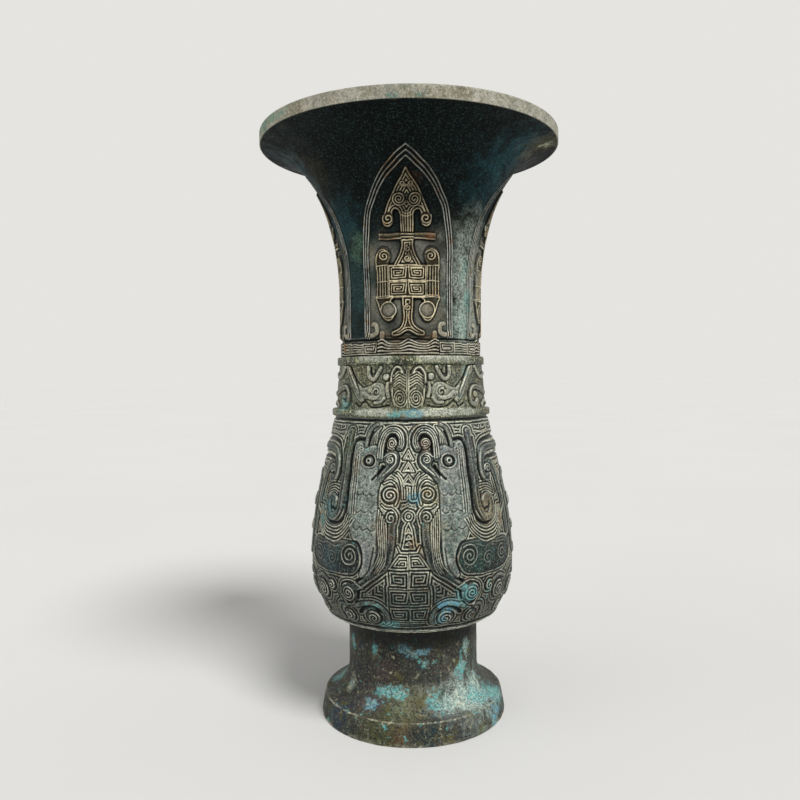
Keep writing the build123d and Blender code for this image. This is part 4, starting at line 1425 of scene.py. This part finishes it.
foot = {
    "radius": 40.0, "bandTop": (38.4, 9.0), "ring": 6.0, "coveTop": 21.0, "stem": 28.0,
    "top": belly["low"],
    "tongue": 25.9, "tongueTop": 47.4, "bore": 24.0, "segments": 240, "round": 0.9,
    "coveRound": 0.5, "coveAhead": 3, "coveSteps": 3, "sole": 1.5, "bandSteps": 9, "stemSteps": 24,
    "boreSteps": 16, "skin": 0.35, "skinGrain": 4.0, "wornShare": 0.6, "wornSwing": 0.9, "wornLeast": 0.1,
    "crease": 50, "wearPitch": 7.0, "wearSeed": 5, "shadow": (6.0, 12.0), "shadowShare": 0.95,
    "edgeWear": (0.15, 0.6), "soleWear": (0.5, 1.3), "soleShare": 0.8,
    "inside": 1.5, "insideSlope": 0.3, "shadowFrom": 1, "toneOut": 0.5, "toneIn": 0.1,
}


def footOutline():
    inner, bandTop, stem = foot["radius"] - foot["ring"], foot["bandTop"], foot["stem"]
    outline = [(inner + foot["sole"], 0.0)]
    roundCorner(outline, (foot["radius"], 0.0), bandTop, foot["round"])
    base, count = outline[-1], foot["bandSteps"]
    for step in range(1, count):
        outline.append(tuple(base[i] + (bandTop[i] - base[i]) * step / count for i in range(2)))
    lean = 2 * atan2(stem - bandTop[0], foot["coveTop"] - bandTop[1])
    ahead = foot["coveAhead"]
    along = (bandTop[0] + ahead * sin(lean), bandTop[1] + ahead * cos(lean))
    roundCorner(outline, bandTop, along, foot["coveRound"], foot["coveSteps"])
    cove = [bandTop]
    count = foot["stemSteps"]
    tangentArc(cove, (stem, foot["coveTop"]), lean, count)
    outline.extend(cove[2:])
    for step in range(1, count + 1):
        outline.append((stem, foot["coveTop"] + (foot["top"] - foot["coveTop"]) * step / count))
    outline.extend([(foot["tongue"], foot["top"]), (foot["tongue"], foot["tongueTop"])])
    outline.extend([(foot["bore"], foot["tongueTop"]), (foot["bore"], foot["coveTop"])])
    count = foot["boreSteps"]
    for step in range(1, count):
        a = step / count * pi / 2
        reach = foot["bore"] + (inner - foot["bore"]) * (1 - cos(a))
        outline.append((reach, foot["coveTop"] * (1 - sin(a))))
    outline.append((inner, 0.0))
    return outline


def wearFoot(piece):  # bright worn edges on the band and the sole, partly a painted highlight, and a painted shadow under the belly
    co = np.empty(len(piece.data.vertices) * 3)
    piece.data.vertices.foreach_get("co", co)
    x, y, z = co.reshape(-1, 3).T / mm
    reach = np.hypot(x, y)
    swing = foot["wornSwing"] * waves(x, y, z, foot["wearPitch"], foot["wearSeed"])
    broken = np.clip(foot["wornShare"] + swing, foot["wornLeast"], 1)
    # the band's top edge and the sole: rubbed metal and a painted highlight
    edge = broken * fade(np.hypot(reach - foot["bandTop"][0], z - foot["bandTop"][1]), *foot["edgeWear"])
    low = foot["soleShare"] * broken * fade(np.hypot(reach - foot["radius"], z), *foot["soleWear"])
    shadow = fade(foot["top"] - z, *foot["shadow"]) * (reach > foot["tongue"] + foot["shadowFrom"])
    drop = foot["coveTop"] - np.minimum(z, foot["coveTop"])
    outside = reach > foot["bore"] + foot["inside"] + drop * foot["insideSlope"]
    tone = np.where(outside, foot["toneOut"], foot["toneIn"])
    hollowShade = foot["shadowShare"] * shadow
    paintRelief(piece.data, np.column_stack([np.maximum(edge, low), 0 * z, hollowShade, tone]))


footLook = {
    "relief": True, "dark": (22, 27, 26), "haze": (44, 47, 46), "brown": (66, 63, 53),
    "deep": (12, 13, 13), "shade": (30, 34, 32), "pale": (120, 120, 104), "paleToo": (90, 90, 80),
    "paleBroad": (100, 92, 80), "paleFine": (150, 148, 128), "paleLow": 0.5, "body": (90, 90, 80),
    "bodyShare": 0.0, "grit": 0.45, "gritColour": (128, 120, 98), "bodyLine": (206, 200, 172),
    "groundLine": (206, 200, 172), "dullLine": (112, 112, 90), "warmLine": (150, 132, 96),
    "lineLow": 0.1, "lineStain": 0.7, "lineMetal": 0.2, "metal": 0.12, "rough": 0.55, "gloss": 0.25,
    "pits": 0.6, "speckle": 0.45, "speckColour": (150, 150, 126), "pitted": 0.9, "hollowShare": 0.9,
    "crumb": (188, 214, 200), "crumbToo": (54, 112, 118),
    "flecks": [
        (110, 0.37, 0.55, 0.7, (88, 84, 48)), (140, 0.83, 0.58, 0.75, tealDark),
        (230, 0.59, 0.6, 0.75, turquoise), (340, 0.23, 0.58, 0.7, cream),
        (620, 0.91, 0.57, 0.75, (30, 32, 29)), (800, 0.47, 0.6, 0.6, (140, 176, 162)),
    ],
    "hazes": [
        (38, 32, 12, 10, (206, 222, 210), 1.0), (55, 31.5, 12.5, 9, (194, 224, 216), 1.0),
        (72, 35, 9.8, 6, (130, 190, 188), 0.95), (20, 31.5, 12.3, 7, (144, 152, 146), 0.9),
        (0, 32, 12, 8, (124, 120, 90), 0.9), (-10, 33, 10.8, 6, (118, 126, 94), 0.85),
        (-32, 32, 12, 7, (92, 74, 76), 0.85), (-24, 28, 22, 7, (80, 62, 60), 0.85),
        (30, 28, 26, 7, (86, 76, 68), 0.7), (-20, 39.2, 4.3, 9, (80, 84, 42), 0.95),
        (-6.5, 39.3, 4.2, 4, rust, 0.95), (2, 39, 5.5, 2.8, (16, 17, 16), 0.95),
        (14, 39.1, 5, 6, (17, 44, 46), 0.95), (30, 39.2, 4.6, 8, (30, 28, 34), 0.95),
        (-52, 38.8, 6.5, 6, (26, 54, 80), 0.95), (200, 33, 12, 16, (140, 150, 132), 0.8),
    ],
    "spots": [
        (-19, 28.8, 16.8, 4.6, turquoise, flatWide), (-31, 31.6, 12, 2.6, paleBlue, flatWide),
        (19.7, 31.4, 12.6, 3.8, turquoise, plain), (30, 31.8, 12.2, 3.6, (190, 202, 188), plain),
        (43, 31.8, 12, 4.4, (196, 204, 186), plain), (55, 31.6, 12.3, 3.8, turquoise, plain),
        (73, 35.4, 9.9, 3.6, turquoise, plain), (62, 29.3, 15.6, 3.2, (186, 202, 184), plain),
        (47, 28, 24, 3.6, turquoise, upright), (54, 28, 32, 3.4, (168, 196, 180), upright),
        (-4, 28, 34.6, 3, paleBlue, flatWide), (6, 28, 33, 3, paleBlue, flatWide),
        (11, 28, 28.6, 1.8, turquoise, plain), (-33, 28, 32.5, 3, turquoise, upright),
        (-63, 28, 33, 2.8, turquoise, upright), (-60, 29.7, 14.6, 2.8, cream, plain),
        (62, 39.2, 4.3, 4.6, paleBlue, upright), (140, 32, 12, 6, turquoise, plain),
        (215, 29.8, 15, 5.5, cream, plain), (180, 28, 34, 5, paleBlue, flatWide),
        (265, 33, 11, 4.6, turquoise, plain),
    ],
}


def makeFoot():
    piece = turnedRing("foot_ring", footOutline(), foot["segments"])
    wearFoot(piece)
    castUnevenness(piece, foot["skinGrain"] * mm, foot["skin"] * mm)
    shadeSmooth(piece, foot["crease"])
    finishPiece(piece, patinaBronze("footPatina", footLook), "pedestal_foot")
    print("foot made", len(piece.data.polygons))


# pieces that keep their CAD shape

bareLook = dict(neckLook, relief=False, hazes=[], spots=[])
innerLook = dict(bareLook, dark=(26, 30, 28), haze=(40, 52, 46), rough=0.62)
brazeLook = dict(bareLook, dark=(96, 82, 48), haze=(122, 106, 64), brown=(84, 70, 44),
                 gritColour=(84, 110, 92), metal=0.6, rough=0.48)


def dressInside():
    dark = patinaBronze("innerPatina", innerLook)
    filler = patinaBronze("brazeMetal", brazeLook)
    for name, node in frame["nodes"].items():
        if name == "belly_floor":
            material = dark
        elif name.endswith("_braze"):
            material = filler
        else:
            continue
        for holder in [node] + list(node.children_recursive):
            for slot in holder.material_slots:
                slot.material = material
    print("inside dressed")


# floor, light and camera

stage = {
    "floor": (221, 220, 217), "floorToo": (223, 222, 219), "backdrop": (229, 228, 225), "size": 40.0,
    "soft": 0.42, "mottle": (3, 3), "mottleRange": (0.3, 0.7), "rough": 0.9, "gloss": 0.05,
}


def makeStage():
    deselectAll()
    bpy.ops.mesh.primitive_plane_add(size=stage["size"])
    floor = bpy.context.object
    floor.name = "floor"
    graph = startMaterial("paleFloor")
    mottle = rangeOf(graph, noise(graph, *stage["mottle"]), *stage["mottleRange"])
    mottled = blendColour(graph, mottle, stage["floor"], stage["floorToo"])
    graph.links.new(mottled, graph.shader.inputs["Base Color"])
    graph.shader.inputs["Roughness"].default_value = stage["rough"]
    graph.shader.inputs["Specular IOR Level"].default_value = stage["gloss"]
    floor.data.materials.append(graph.material)

    world = bpy.data.worlds.new("studio")
    bpy.context.scene.world = world
    world.use_nodes = True
    nodes, links = world.node_tree.nodes, world.node_tree.links
    soft = nodes["Background"]
    soft.inputs["Color"].default_value = (1, 1, 1, 1)
    soft.inputs["Strength"].default_value = stage["soft"]
    seen = nodes.new("ShaderNodeBackground")
    seen.inputs["Color"].default_value = colour(*stage["backdrop"])
    path = nodes.new("ShaderNodeLightPath")
    rays = path.outputs["Is Camera Ray"]
    for kind in ("Is Glossy Ray", "Is Transmission Ray"):
        either = nodes.new("ShaderNodeMath")
        either.operation = "MAXIMUM"
        links.new(rays, either.inputs[0])
        links.new(path.outputs[kind], either.inputs[1])
        rays = either.outputs["Value"]
    pick = nodes.new("ShaderNodeMixShader")
    links.new(rays, pick.inputs["Fac"])
    links.new(soft.outputs["Background"], pick.inputs[1])
    links.new(seen.outputs["Background"], pick.inputs[2])
    links.new(pick.outputs["Shader"], nodes["World Output"].inputs["Surface"])


lamps = {
    "key": {"turn": 38, "height": 52, "strength": 2.4, "spread": 22},
    "fill": {"turn": -62, "height": 22, "strength": 0.4, "spread": 60},
}


def makeLight():
    for name, lamp in lamps.items():  # turn is from the front towards the right
        deselectAll()
        aim = (radians(90 - lamp["height"]), 0, radians(lamp["turn"]))
        bpy.ops.object.light_add(type="SUN", rotation=aim)
        sun = bpy.context.object
        sun.name = name + "Lamp"
        sun.data.energy = lamp["strength"]
        sun.data.angle = radians(lamp["spread"])
    bpy.context.scene.view_settings.view_transform = "Standard"


camera = {
    "distance": 0.3324, "height": 0.1457, "turn": 1.8, "roll": 0.48, "sensor": 36.0, "clip": 0.01,
    "focal": 750.0, "frame": 800.0, "axisX": 410.8, "horizon": 375.0,  # in pixels of the photo
}


def makeCamera():
    turn = radians(camera["turn"])
    place = (camera["distance"] * sin(turn), -camera["distance"] * cos(turn), camera["height"])
    bpy.ops.object.camera_add(location=place, rotation=(radians(90), radians(camera["roll"]), turn))
    eye = bpy.context.object
    eye.data.sensor_width = camera["sensor"]
    eye.data.lens = camera["sensor"] * camera["focal"] / camera["frame"]
    middle = camera["frame"] / 2
    eye.data.shift_x = (middle - camera["axisX"]) / camera["frame"]
    eye.data.shift_y = (camera["horizon"] - middle) / camera["frame"]
    eye.data.clip_start = camera["clip"]
    bpy.context.scene.camera = eye
    print("floor, light and camera made")


makeStage()
makeLight()
makeCamera()
makeFoot()
makeBelly()
makeCollar()
makeNeck()
dressInside()
print("scene done")
